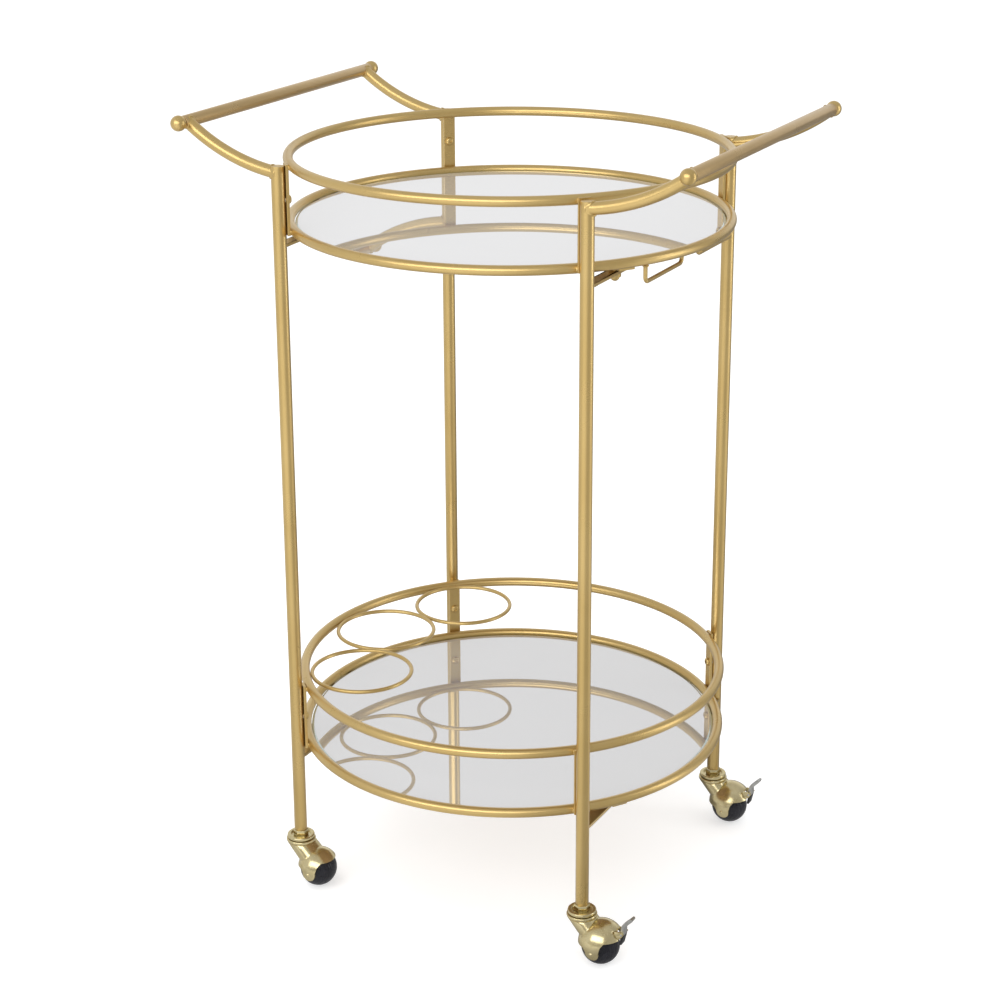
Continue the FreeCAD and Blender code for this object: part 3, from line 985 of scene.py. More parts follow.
@dataclass
class SideFrames:
    """Legs, handle arms, handles and their welds.

    Attributes:
        finishes: The cart's materials.
        leg_wall: Thickness of the leg tube.
        cap_edge: Rounding of a leg's capped top.
        foot_edge: Rounding of a leg's lower end.
        grip_edge: Rounding of the handle tubes' rims.
        plug: Length of a ball end's plug inside its tube.
        plug_gap: Clearance round that plug.
        neck_share: Radius of a ball end's neck as a share of its ball's.
        neck_foot: Height at which that neck leaves the plug.
        neck_top: Height at which that neck is full.
        neck_blend: Arc between neck and ball in degrees.
        bead_r: Radius of a weld bead.
        bead_out: How far a bead stands out from its tube, as a share of its radius.
        bead_lift: How far it stands off its post, as a share of its radius.
        ripple: Unevenness of a bead as a share of its radius.
        ripple_size: Size of that unevenness.
        arm_slope: Slope with which an arm leaves its leg.
        arm_drop: Drop of an arm's axis below the leg's top.
    """

    finishes: Finishes
    leg_wall: float = 1.2 * MM
    cap_edge: float = 0.8 * MM
    foot_edge: float = 0.35 * MM
    grip_edge: float = 0.4 * MM
    plug: float = 6.0 * MM
    plug_gap: float = 0.02 * MM
    neck_share: float = 0.6
    neck_foot: float = 0.1 * MM
    neck_top: float = 0.4 * MM
    neck_blend: float = 16.0
    bead_r: float = 0.95 * MM
    bead_out: float = 0.15
    bead_lift: float = 0.35
    ripple: float = 0.12
    ripple_size: float = 1.4 * MM
    arm_slope: float = math.radians(6.0)
    arm_drop: float = 6.6 * MM

    def build(self) -> None:
        """Build and dress every piece of the two side frames."""
        for corner in Corner:
            self.leg(corner)
            self.arm(corner)
            self.arm_welds(corner)
        for side in SIDES:
            self.handle(side)
        self.ball_ends()

    def leg_foot(self, corner: Corner) -> tuple[Vector, float, float]:
        """Find a leg in the frame.

        Args:
            corner: The leg's corner.

        Returns:
            Centre of its lower end, its radius and its top height.
        """
        space = extent("leg_" + corner.label)
        centre = space.centre
        return Vector((centre.x, centre.y, space.low.z)), space.size.x / 2, extent("leg_caps").high.z

    def leg(self, corner: Corner) -> None:
        """Build one leg: a tube with a welded, softly rounded cap.

        Args:
            corner: The leg's corner.
        """
        foot, radius, top = self.leg_foot(corner)
        height = top - foot.z
        inner = radius - self.leg_wall
        crown = arc_points((radius - self.cap_edge, height - self.cap_edge), self.cap_edge, 0, 90, 5)
        rim = arc_points((radius - self.foot_edge, self.foot_edge), self.foot_edge, -90, 0, 3)
        profile = [(inner, 0.0)] + rim + crown + [(0.0, height), (0.0, height - self.leg_wall),
                                                   (inner, height - self.leg_wall)]
        bench = Bench().add(lathe_shape(profile, TUBE_STEPS, closed=True), Matrix.Translation(foot))
        stands_for = ("leg_" + corner.label,)
        if corner is Corner.FRONT_LEFT:
            stands_for += ("leg_caps",)
        bench.piece("leg_tube_" + corner.label, [self.finishes.gold], stands_for)

    def arm_line(self, corner: Corner) -> tuple[Vector, Vector, float, float]:
        """Work out an arm's arc from the leg and the handle.

        Args:
            corner: The arm's corner.

        Returns:
            Its start, its first direction, its radius and its turn.
        """
        foot, _, top = self.leg_foot(corner)
        bar = extent("handle_bar_" + corner.side)
        start = Vector((foot.x, foot.y, top - self.arm_drop))
        run = abs(bar.centre.x - foot.x)
        rise = bar.centre.z - start.z
        chord_slope = math.atan2(rise, run)
        half_turn = chord_slope - self.arm_slope
        radius = math.hypot(run, rise) / 2 / math.sin(half_turn)
        heading = Vector((corner.sx * math.cos(self.arm_slope), 0, math.sin(self.arm_slope)))
        return start, heading, radius, 2 * half_turn

    def arm(self, corner: Corner) -> None:
        """Build one curved arm from inside the leg to inside the handle.

        Args:
            corner: The arm's corner.
        """
        start, heading, radius, turn = self.arm_line(corner)
        tube_r = extent("handle_bar_left").size.x / 2
        toward = Vector((-corner.sx * heading.z, 0, abs(heading.x)))
        bender = RodBender(tube_r, start, heading, 32).bend(turn, radius, toward, 28)
        Bench().add(bender.finish()).piece("arm_tube_" + corner.label, [self.finishes.gold],
                                           ("handle_arm_" + corner.label,))

    def saddle_bead(self, tube_r: float, post_r: float) -> BMesh:
        """Weld bead round a tube, along +X, where it meets an upright post at the origin.

        Args:
            tube_r: Radius of the tube.
            post_r: Radius of the post.

        Returns:
            The bead's mesh.
        """
        shape = ring_shape(tube_r + self.bead_out * self.bead_r, self.bead_r, 64)
        bmesh.ops.rotate(shape, matrix=Matrix.Rotation(math.pi / 2, 3, "Y"), verts=shape.verts)
        for vert in shape.verts:
            reach = math.sqrt(max(post_r ** 2 - min(abs(vert.co.y), post_r) ** 2, 0.0))
            ripple = self.ripple * noise.noise(vert.co / self.ripple_size)
            vert.co.x = vert.co.x * (1 + ripple) + reach + self.bead_lift * self.bead_r
        return shape

    def arm_welds(self, corner: Corner) -> None:
        """Weld beads at both ends of one arm.

        Args:
            corner: The arm's corner.
        """
        start, _, _, turn = self.arm_line(corner)
        leg_r = self.leg_foot(corner)[1]
        bar = extent("handle_bar_" + corner.side)
        tube_r = bar.size.x / 2
        flip = Matrix.Rotation(math.pi if corner.sx < 0 else 0.0, 4, "Z")
        bench = Bench()
        low = Matrix.Translation(start) @ flip @ Matrix.Rotation(-self.arm_slope, 4, "Y")
        bench.add(self.saddle_bead(tube_r, leg_r), low)
        arrive = self.arm_slope + turn
        spin_round = Matrix.Rotation(math.pi / 2, 4, "X")
        end = Vector((bar.centre.x, start.y, bar.centre.z))
        high = Matrix.Translation(end) @ flip @ Matrix.Rotation(math.pi - arrive, 4, "Y") @ spin_round
        bench.add(self.saddle_bead(tube_r, tube_r), high)
        bench.piece("arm_welds_" + corner.label, [self.finishes.gold])

    def handle(self, side: str) -> None:
        """Build one handle tube with its soft rims.

        Args:
            side: Side of the cart that it is on.
        """
        bar = extent("handle_bar_" + side)
        radius = bar.size.x / 2
        length = bar.size.y
        rim = self.grip_edge
        inner = radius - self.leg_wall
        profile = [(inner, 0.0)] + arc_points((radius - rim, rim), rim, -90, 0, 3)
        profile += arc_points((radius - rim, length - rim), rim, 0, 90, 3) + [(inner, length)]
        place = Matrix.Translation((bar.centre.x, bar.low.y, bar.centre.z)) @ turn_to(BACK)
        # The tube takes the darker, pinker copy of the gold paint: painted shade.
        Bench().add(lathe_shape(profile, TUBE_STEPS, closed=True), place).piece(
            "grip_tube_" + side, [self.finishes.grip], ("handle_bar_" + side,))

    def ball_ends(self) -> None:
        """Build the four turned ball ends in one piece."""
        bench = Bench()
        space = extent("handle_ball_ends")
        ball_r = space.size.z / 2
        neck_r = self.neck_share * ball_r
        meet = math.degrees(math.asin(-neck_r / ball_r))
        for corner in Corner:
            bar = extent("handle_bar_" + corner.side)
            plug_r = bar.size.x / 2 - self.leg_wall - self.plug_gap
            centre_up = space.high.y - bar.high.y - ball_r
            profile = [(0.0, -self.plug), (plug_r, -self.plug), (plug_r, self.neck_foot)]
            profile += [(neck_r, self.neck_top)]
            profile += arc_points((0.0, centre_up), ball_r, meet - self.neck_blend, 90, 20)[1:]
            place = Matrix.Translation((bar.centre.x, corner.sy * bar.high.y, bar.centre.z))
            bench.add(lathe_shape(profile, 40), place @ turn_to(BACK * corner.sy))
        bench.piece("grip_ball_ends", [self.finishes.gold], ("handle_ball_ends",))


@dataclass
class TrayTier:
    """One tray: its rings, straps, screws, welds and mirror.

    Attributes:
        tray: Which tray it is.
        finishes: The cart's materials.
        bevel: Width of the mirror's polished bevel.
        bevel_drop: Depth of that bevel.
        arris: Width of the small rounding below the bevel.
        strap_edge: Rounding of the straps' edges.
        weld: Half lengths of a weld spot beside a strap.
        weld_reach: Distance of that spot from the strap's middle.
        weld_out: How far it sits from the rod's middle, as a share of the rod's radius.
        board_edge: Rounding of the backing board's edges.
        bevel_crisp: Slope in degrees from which the mirror's edges stay crisp.
        level: Least Z of a normal on the silvered face.
    """

    tray: Tray
    finishes: Finishes
    bevel: float = 2.4 * MM
    bevel_drop: float = 0.9 * MM
    arris: float = 0.3 * MM
    strap_edge: float = 0.5 * MM
    weld: Triple = (1.7 * MM, 2.3 * MM, 1.5 * MM)
    weld_reach: float = 5.6 * MM
    weld_out: float = 0.80
    board_edge: float = 0.3 * MM
    bevel_crisp: float = 8.0
    level: float = 0.99

    def build(self) -> None:
        """Build and dress every piece of the tray."""
        name = self.tray.value
        for part in ("rail", "base_ring"):
            node = f"{name}_tray_{part}"
            centre, ring_r, rod_r = self.ring_size(node)
            Bench().add(ring_shape(ring_r, rod_r), Matrix.Translation(centre)).piece(
                f"{name}_{part}_rod", [self.finishes.gold], (node,))
        for part in ("straps", "tabs", "supports"):
            pressed_piece(f"{name}_tray_{part}", f"{name}_flat_{part}", [self.finishes.gold],
                          self.strap_edge)
        self.mirror()
        self.strap_welds()

    def ring_size(self, node: str) -> tuple[Vector, float, float]:
        """Read a ring from the frame.

        Args:
            node: The ring's node.

        Returns:
            Its centre, its centre line's radius and its rod's radius.
        """
        space = extent(node)
        rod_r = space.size.z / 2
        return space.centre, space.size.x / 2 - rod_r, rod_r

    def mirror(self) -> None:
        """Build the mirror with its bevelled edge, and its backing board."""
        glass = extent(self.tray.value + "_mirror")
        radius = glass.size.x / 2
        thick = glass.size.z
        profile = [(0.0, thick), (radius / 2, thick), (radius - self.bevel, thick),
                   (radius - self.arris, thick - self.bevel_drop),
                   (radius, thick - self.bevel_drop - self.arris), (radius, self.arris),
                   (radius - self.arris, 0.0), (0.0, 0.0)]
        shape = lathe_shape(profile, RING_STEPS)
        for face in shape.faces:
            face.material_index = 0 if face.normal.z > self.level else 1
        place = Matrix.Translation((glass.centre.x, glass.centre.y, glass.low.z))
        Bench().add(shape, place).piece(
            self.tray.value + "_mirror_glass", [self.finishes.mirror, self.finishes.mirror_edge],
            (self.tray.value + "_mirror",), slot=Slot.MIRROR, angle=math.radians(self.bevel_crisp))
        pressed_piece(self.tray.value + "_mirror_backing", self.tray.value + "_backing_board",
                      [self.finishes.board], self.board_edge, slot=Slot.BOARD)

    def strap_welds(self) -> None:
        """Weld spots beside the straps, where both rings pass them."""
        bench = Bench()
        for number, corner in enumerate(Corner):
            out = corner.outward
            along = UP.cross(out)
            for part in ("rail", "base_ring"):
                centre, ring_r, rod_r = self.ring_size(f"{self.tray.value}_tray_{part}")
                for side in (-1, 1):
                    spot = centre + out * (ring_r + self.weld_out * rod_r) + along * (side * self.weld_reach)
                    seed = 3.1 * number + 1.7 * side + 7.3 * (part == "rail")
                    place = Matrix.Translation(spot) @ turn_to(along)
                    bench.add(blob_shape(Vector(self.weld), seed), place)
        bench.piece(self.tray.value + "_strap_welds", [self.finishes.gold])


@dataclass
class BottleRack:
    """The three wire rings on the lower rail, and their weld spots.

    Attributes:
        finishes: The cart's materials.
        places: Names of the rings from front to rear.
        weld: Half lengths of a weld spot.
        weld_out: How far a spot sits beyond its wire's middle, as a share of the rail's width.
    """

    finishes: Finishes
    places: tuple[str, ...] = ("front", "middle", "rear")
    weld: Triple = (2.2 * MM, 2.2 * MM, 1.5 * MM)
    weld_out: float = 0.2

    def build(self) -> None:
        """Build and dress the rings and their welds."""
        rings = []
        for name in self.places:
            space = extent("bottle_ring_" + name)
            wire_r = space.size.z / 2
            ring_r = space.size.x / 2 - wire_r
            rings.append((space.centre, ring_r))
            Bench().add(ring_shape(ring_r, wire_r, 96), Matrix.Translation(space.centre)).piece(
                "bottle_wire_" + name, [self.finishes.gold], ("bottle_ring_" + name,))
        bench = Bench()
        rail = extent("lower_tray_rail")
        spots = [(one + other) / 2 for (one, _), (other, _) in zip(rings, rings[1:])]
        for centre, ring_r in rings:
            out = Vector((centre.x, centre.y, 0)).normalized()
            spots.append(centre + out * (ring_r + rail.size.z * self.weld_out))
        for number, spot in enumerate(spots):
            spot.z = rail.centre.z
            bench.add(blob_shape(Vector(self.weld), 2.9 * number), Matrix.Translation(spot))
        bench.piece("bottle_wire_welds", [self.finishes.gold])


@dataclass
class GlassRails:
    """The two bent wires that hang under the top tray.

    Attributes:
        finishes: The cart's materials.
        bend_r: Radius of their bends.
        weld: Half lengths of the weld spot at a wire's foot.
    """

    finishes: Finishes
    bend_r: float = 5.0 * MM
    weld: Triple = (2.9 * MM, 2.9 * MM, 1.3 * MM)

    def build(self) -> None:
        """Bend both wires."""
        for name, sy in (("front", -1), ("rear", 1)):
            space = extent("glass_rail_" + name)
            wire_r = space.size.x / 2
            outer, inner = sorted((space.low.y, space.high.y), key=abs, reverse=True)
            inner_top = extent("top_tray_supports").low.z
            start = Vector((space.centre.x, outer - sy * wire_r, space.high.z))
            low = space.low.z + wire_r
            bender = RodBender(wire_r, start, -UP, 20)
            bender.run(start.z - low - self.bend_r)
            bender.bend(math.pi / 2, self.bend_r, BACK * -sy)
            bender.run(abs(outer - inner) - 2 * wire_r - 2 * self.bend_r)
            bender.bend(math.pi / 2, self.bend_r, UP)
            bender.run(inner_top - low - self.bend_r)
            bench = Bench().add(bender.finish())
            feet = (start, Vector((start.x, inner + sy * wire_r, inner_top)))
            for number, foot in enumerate(feet):
                bead = blob_shape(Vector(self.weld), 5.3 * number + sy)
                bench.add(bead, Matrix.Translation(foot - UP * self.weld[2] / 2))
            bench.piece("glass_wire_" + name, [self.finishes.gold], ("glass_rail_" + name,))


@dataclass
class Fixings:
    """Crossbars, screws, studs, spacers and nuts.

    Attributes:
        finishes: The cart's materials.
        head_r: Radius of a screw's button head.
        head_h: Height of that head.
        crown_r: Rounding of that head.
        shank_r: Radius of a screw's shank.
        shank: Length of a screw's shank.
        socket_flats: Width of its hexagon socket.
        socket_depth: Depth of that socket.
        face_share: Radius of the head's flat face as a share of the socket's.
        tip_r: Radius of the shank's closing face.
        nut_r: Radius of a cap nut's skirt.
        nut_skirt: Height of that skirt.
        skirt_edge: Width of the slope on that skirt's shoulder.
        skirt_drop: Height of that slope.
        dome_r: Radius of a cap nut's dome.
        bar_edge: Rounding of the crossbars' edges.
        spacer_edge: Rounding of the spacers' rims.
    """

    finishes: Finishes
    head_r: float = 4.2 * MM
    head_h: float = 2.6 * MM
    crown_r: float = 2.3 * MM
    shank_r: float = 2.5 * MM
    shank: float = 9.5 * MM
    socket_flats: float = 2.8 * MM
    socket_depth: float = 1.5 * MM
    face_share: float = 1.25
    tip_r: float = 0.1 * MM
    nut_r: float = 5.6 * MM
    nut_skirt: float = 3.4 * MM
    skirt_edge: float = 0.3 * MM
    skirt_drop: float = 0.4 * MM
    dome_r: float = 4.3 * MM
    bar_edge: float = 0.5 * MM
    spacer_edge: float = 0.3 * MM

    def build(self) -> None:
        """Build and dress every fixing."""
        gold = [self.finishes.gold]
        for tray in Tray:
            for side in SIDES:
                pressed_piece(f"crossbar_{tray.value}_{side}", f"flat_bar_{tray.value}_{side}", gold,
                              self.bar_edge)
        self.screws()
        self.cap_nuts()
        for node in ("tray_studs", "rivet_nuts", "leg_thread_inserts"):
            self.finishes.dress_node(node, self.finishes.zinc)
        pressed_piece("tray_spacers", "spacer_tubes", gold, self.spacer_edge)

    def screw_shape(self) -> BMesh:
        """Button-head screw along +Z, its seat at the origin and its head below it.

        Returns:
            The screw's mesh.
        """
        socket_r = self.socket_flats / 2 / math.cos(math.pi / 6)
        head_low = -self.head_h
        shape = bmesh.new()
        bmesh.ops.create_circle(shape, segments=6, radius=socket_r, cap_ends=True)
        bmesh.ops.translate(shape, vec=UP * (head_low + self.socket_depth), verts=shape.verts)
        rim = self.grow_rim(shape, shape.edges[:], socket_r, head_low)
        rim = bmesh.ops.subdivide_edges(shape, edges=rim, cuts=5)["geom_split"]
        rim = [e for e in rim if isinstance(e, BMEdge) and e.is_boundary]
        crown = arc_points((self.head_r - self.crown_r, head_low + self.crown_r), self.crown_r, -84, 0, 6)
        stations = [(socket_r * self.face_share, head_low)] + crown + [(self.head_r, 0.0)]
        stations += [(self.shank_r, 0.0), (self.shank_r, self.shank), (self.tip_r, self.shank)]
        for radius, height in stations:
            rim = self.grow_rim(shape, rim, radius, height)
        bmesh.ops.contextual_create(shape, geom=rim)
        bmesh.ops.recalc_face_normals(shape, faces=shape.faces)
        return shape

    @staticmethod
    def grow_rim(shape: BMesh, rim: list, radius: float, height: float) -> list:
        """Draw a rim out to a new radius and height.

        Args:
            shape: The mesh being drawn.
            rim: Edges of its open rim.
            radius: New radius of the rim.
            height: New height of the rim.

        Returns:
            Edges of the new rim.
        """
        made = bmesh.ops.extrude_edge_only(shape, edges=rim)["geom"]
        edges = [e for e in made if isinstance(e, BMEdge)]
        for vert in {v for e in edges for v in e.verts}:
            flat = Vector((vert.co.x, vert.co.y, 0)).normalized() * radius
            vert.co = (flat.x, flat.y, height)
        return edges

    def screws(self) -> None:
        """Place the eight tray screws, two in each leg."""
        bench = Bench()
        for corner in Corner:
            out = corner.outward
            for tray in Tray:
                rail = extent(tray.value + "_tray_rail")
                base = extent(tray.value + "_tray_base_ring")
                seat = out * (rail.size.x / 2) + UP * ((rail.centre.z + base.centre.z) / 2)
                place = Matrix.Translation(seat) @ turn_to(out)
                bench.add(self.screw_shape(), place)
        bench.piece("button_screws", [self.finishes.gold], ("tray_screws",))

    def cap_nuts(self) -> None:
        """Place the four cap nuts, each a round skirt with a dome."""
        bench = Bench()
        space = extent("tray_cap_nuts")
        height = space.size.z
        ledge = height - self.nut_skirt
        dome = [(0.0, 0.0)] + arc_points((0.0, self.dome_r), self.dome_r, -80, 0, 10)
        dome += [(self.dome_r, ledge), (self.nut_r - self.skirt_edge, ledge)]
        dome += [(self.nut_r, ledge + self.skirt_drop), (self.nut_r, height), (0.0, height)]
        for corner in Corner:
            x, y = corner.sx * (space.high.x - self.nut_r), corner.sy * (space.high.y - self.nut_r)
            bench.add(lathe_shape(dome, 40), Matrix.Translation((x, y, space.low.z)))
        bench.piece("cap_nuts", [self.finishes.gold], ("tray_cap_nuts",))


@dataclass
class Caster:
    """One hooded ball caster.

    Attributes:
        corner: Corner of the cart that it is on.
        finishes: The cart's materials.
        axle_r: Radius of the ball's bore.
        axle_gap: Clearance of the axle pin in that bore.
        groove: Depth of the ball's moulded grooves.
        groove_lines: Latitudes of those grooves in degrees.
        groove_half: Half their width in degrees.
        rivet_h: Height of an axle's rivet head.
        rivet_round: Rounding of that head.
        rivet_edge: Width of the slope under that head's rim.
        rivet_sink: Depth to which the head stands in the hood's tongue.
        dome_r: Outer radius of a plain hood's dome.
        dome_wall: Thickness of the hood's sheet.
        brake_room: How much larger the dome of a braked hood is.
        brake_shift: How far the centre of that dome is moved.
        neck_low_r: Radius of the neck's lower end.
        neck_top_r: Radius of the neck at the swivel disc.
        neck_low_x: Distance of the neck's lower end from the swivel axis.
        neck_low_z: Height of the neck's lower end.
        neck_top_z: Height of the neck's upper end.
        snap: Distance within which a point counts as on a curved face.
        finest: Length to which the hood's curved edges are divided.
        hood_edge: Rounding of the hood's edges.
        lever_edge: Rounding of the lever's edges.
        pin_edge: Rounding of the brake pin's rims.
        ball_crisp: Slope in degrees from which the ball's edges stay crisp.
        shoe_drop: Distance below its pivot from which the lever is dipped in black.
    """

    corner: Corner
    finishes: Finishes
    axle_r: float = 2.05 * MM
    axle_gap: float = 0.05 * MM
    groove: float = 0.22 * MM
    groove_lines: tuple[float, ...] = (-58, -44, -30, -16, 16, 30, 44, 58)
    groove_half: float = 2.4
    rivet_h: float = 1.5 * MM
    rivet_round: float = 2.6 * MM
    rivet_edge: float = 0.2 * MM
    rivet_sink: float = 0.5 * MM
    dome_r: float = 21.0 * MM
    dome_wall: float = 1.6 * MM
    brake_room: float = 1.5 * MM
    brake_shift: Triple = (1.0 * MM, 0.0, 3.5 * MM)
    neck_low_r: float = 15.5 * MM
    neck_top_r: float = 14.35 * MM
    neck_low_x: float = 17.0 * MM
    neck_low_z: float = 26.0 * MM
    neck_top_z: float = 44.5 * MM
    snap: float = 0.25 * MM
    finest: float = 0.8 * MM
    hood_edge: float = 0.22 * MM
    lever_edge: float = 0.3 * MM
    pin_edge: float = 0.2 * MM
    ball_crisp: float = 60.0
    shoe_drop: float = 2.6 * MM

    @property
    def braked(self) -> bool:
        """Whether the caster has a brake."""
        return self.corner.sx > 0

    def build(self) -> None:
        """Build and dress the caster."""
        self.hood()
        self.ball()
        self.axle()
        if self.braked:
            self.brake()

    def hood(self) -> None:
        """Hood: its dome and neck divided more finely, with the new points laid on the true curves."""
        label = self.corner.label
        shape = merged_copy("caster_hood_" + label)
        for _ in range(2):
            curved = [e for e in shape.edges if self.on_curve(e) and e.calc_length() > self.finest]
            made = bmesh.ops.subdivide_edges(shape, edges=curved, cuts=1, use_grid_fill=True)
            fresh = {v for v in made["geom_inner"] + made["geom_split"] if isinstance(v, BMVert)}
            for vert in fresh:
                vert.co = self.settled(vert.co)[0]
        bmesh.ops.triangulate(shape, faces=[f for f in shape.faces if len(f.verts) > 4])
        pressed_piece("caster_hood_" + label, "hood_" + label, [self.finishes.brass], self.hood_edge,
                      "caster_" + label, Slot.BRASS, shape)

    def on_curve(self, edge: BMEdge) -> bool:
        """Tell whether both ends and the middle of an edge lie on one curved face of the hood.

        Args:
            edge: An edge of the hood.

        Returns:
            Whether they do.
        """
        ends = [self.settled(vert.co)[1] for vert in edge.verts]
        middle = self.settled((edge.verts[0].co + edge.verts[1].co) / 2)[1]
        return ends[0] is not None and ends[0] == ends[1] == middle

    def settled(self, point: Vector) -> tuple[Vector, str | None]:
        """Move a point onto the curved face that it is near.

        Args:
            point: A point of the hood.

        Returns:
            The moved point, and the name of the face, if it is near one.
        """
        centre = joint_place("roll_" + self.corner.label)
        radius = self.dome_r
        if self.braked:
            centre = centre + Vector(self.brake_shift)
            radius += self.brake_room
        arm = point - centre
        for name, face_r in (("outside", radius), ("inside", radius - self.dome_wall)):
            if abs(arm.length - face_r) < self.snap:
                return centre + arm.normalized() * face_r, name
        swivel = self.corner.swivel
        share = (point.z - self.neck_low_z) / (self.neck_top_z - self.neck_low_z)
        axis = Vector((swivel.x + self.neck_low_x * (1 - share), swivel.y, point.z))
        neck_r = self.neck_low_r + (self.neck_top_r - self.neck_low_r) * share
        arm = point - axis
        for name, face_r in (("neck", neck_r), ("bore", neck_r - self.dome_wall)):
            if 0.0 <= share <= 1.0 and abs(arm.length - face_r) < self.snap:
                return axis + arm.normalized() * face_r, name
        return point, None

    def ball(self) -> None:
        """Ball with moulded grooves and a bore, turned about its axle."""
        label = self.corner.label
        space = extent("caster_ball_" + label)
        radius = space.size.z / 2
        bore = math.degrees(math.acos(self.axle_r / radius))
        profile = []
        steps = 96
        for i in range(steps + 1):
            turn = math.radians(-bore + 2 * bore * i / steps)
            groove = self.groove * self.groove_at(math.degrees(turn))
            profile.append(((radius - groove) * math.cos(turn), (radius - groove) * math.sin(turn)))
        place = Matrix.Translation(space.centre) @ turn_to(BACK)
        Bench().add(lathe_shape(profile, 64, closed=True), place).piece(
            "ball_" + label, [self.finishes.ball], ("caster_ball_" + label,), "ball_" + label,
            Slot.BALL, math.radians(self.ball_crisp))

    def groove_at(self, latitude: float) -> float:
        """Share of the groove's depth at a latitude of the ball in degrees."""
        nearest = min(abs(latitude - line) for line in self.groove_lines)
        return max(1.0 - nearest / self.groove_half, 0.0)

    def axle(self) -> None:
        """Axle pin with a domed rivet head outside each tongue."""
        label = self.corner.label
        space = extent("caster_axle_" + label)
        half = space.size.y / 2
        head_r = space.size.z / 2
        seat = half - self.rivet_h
        pin_r = self.axle_r - self.axle_gap
        dome = arc_points((0.0, half - self.rivet_round), self.rivet_round, 90, 30, 6)
        low = seat - self.rivet_sink
        side = dome + [(head_r, seat), (head_r - self.rivet_edge, low), (pin_r, low)]
        profile = side + [(r, -h) for r, h in reversed(side)]
        place = Matrix.Translation(space.centre) @ turn_to(BACK)
        Bench().add(lathe_shape(profile, 32), place).piece(
            "axle_" + label, [self.finishes.brass], ("caster_axle_" + label,), "caster_" + label, Slot.BRASS)

    def brake(self) -> None:
        """Brake lever with its black shoe, and its pin."""
        label = self.corner.label
        lever = pressed_piece("brake_lever_" + label, "brake_" + label,
                              [self.finishes.steel, self.finishes.dip], self.lever_edge,
                              "brake_" + label, Slot.BRAKE)
        pivot = joint_place("brake_" + label)
        for face in lever.data.polygons:
            face.material_index = 1 if face.center.z < pivot.z - self.shoe_drop else 0
        pressed_piece("brake_pin_" + label, "brake_rivet_" + label, [self.finishes.zinc], self.pin_edge,
                      "caster_" + label, Slot.ZINC)


@dataclass
class CasterSeats:
    """What stays with the legs: bearing cups, stem nuts and stems.

    Attributes:
        finishes: The cart's materials.
        nut_flats: Width of the stem nuts.
        nut_edge: Chamfer of the stem nuts.
        cup_r: Outer radius of a cup.
        cup_bore: Radius of a cup's bore.
        cup_floor: Thickness of a cup's floor.
        cup_lip: Rounding of a cup's rolled lip.
        cup_foot: Rounding of a cup's lower rim.
        lip_width: Distance of the lip's inner rounding from the cup's outside.
        lip_round: That rounding.
        dish_width: Distance of the dish's rounding from the cup's outside.
        dish_round: That rounding.
    """

    finishes: Finishes
    nut_flats: float = 13.0 * MM
    nut_edge: float = 0.6 * MM
    cup_r: float = 13.75 * MM
    cup_bore: float = 4.0 * MM
    cup_floor: float = 1.6 * MM
    cup_lip: float = 1.2 * MM
    cup_foot: float = 0.9 * MM
    lip_width: float = 3.15 * MM
    lip_round: float = 0.7 * MM
    dish_width: float = 4.15 * MM
    dish_round: float = 0.8 * MM

    def build(self) -> None:
        """Build and dress the cups, nuts and stems."""
        nuts = Bench()
        cups = Bench()
        nut = extent("caster_nuts")
        cup = extent("caster_cups")
        for corner in Corner:
            foot = Vector((corner.swivel.x, corner.swivel.y, 0))
            nuts.add(hexagon_shape(self.nut_flats, nut.size.z, self.nut_edge),
                     Matrix.Translation(foot + UP * nut.low.z))
            cups.add(self.cup_shape(cup.size.z), Matrix.Translation(foot + UP * cup.low.z))
        nuts.piece("stem_nuts", [self.finishes.brass], ("caster_nuts",), slot=Slot.BRASS)
        cups.piece("bearing_cups", [self.finishes.brass], ("caster_cups",), slot=Slot.BRASS)
        self.finishes.dress_node("caster_stems", self.finishes.zinc)

    def cup_shape(self, height: float) -> BMesh:
        """Pressed bearing cup with a rolled lip and a dished middle, standing on the origin.

        Args:
            height: Height of the cup.

        Returns:
            The cup's mesh.
        """
        foot, lip, inner, dish = self.cup_foot, self.cup_lip, self.lip_round, self.dish_round
        profile = [(self.cup_bore, 0.0)]
        profile += arc_points((self.cup_r - foot, foot), foot, -90, 0, 5)
        profile += arc_points((self.cup_r - lip, height - lip), lip, 0, 90, 6)
        profile += arc_points((self.cup_r - self.lip_width, height - inner), inner, 90, 150, 4)
        profile += arc_points((self.cup_r - self.dish_width, self.cup_floor + dish), dish, -20, -90, 4)
        profile += [(self.cup_bore, self.cup_floor)]
        return lathe_shape(profile, 64, closed=True)


# ---------------------------------------------------------------- studio


@dataclass(frozen=True)
class Softbox:
    """One soft light that faces the cart.

    Attributes:
        name: Name of the light.
        place: Where it stands.
        width: Its width.
        height: Its height.
        power: Its power in watts.
        mirrored: Whether polished parts show it.
    """

    name: str
    place: Triple
    width: float
    height: float
    power: float
    mirrored: bool = True


@dataclass(frozen=True)
class Bearing:
    """Part of the compass round the cart.

    Attributes:
        toward: X and Y of its middle as seen from the cart.
        reach: How far it reaches to each side, in degrees.
    """

    toward: tuple[float, float]
    reach: float


@dataclass(frozen=True)
class Pool(Bearing):
    """Pool of light or shade that polished parts see on the floor.

    Attributes:
        gain: Its brightness, below 0 where the floor lies in shade.
    """

    gain: float


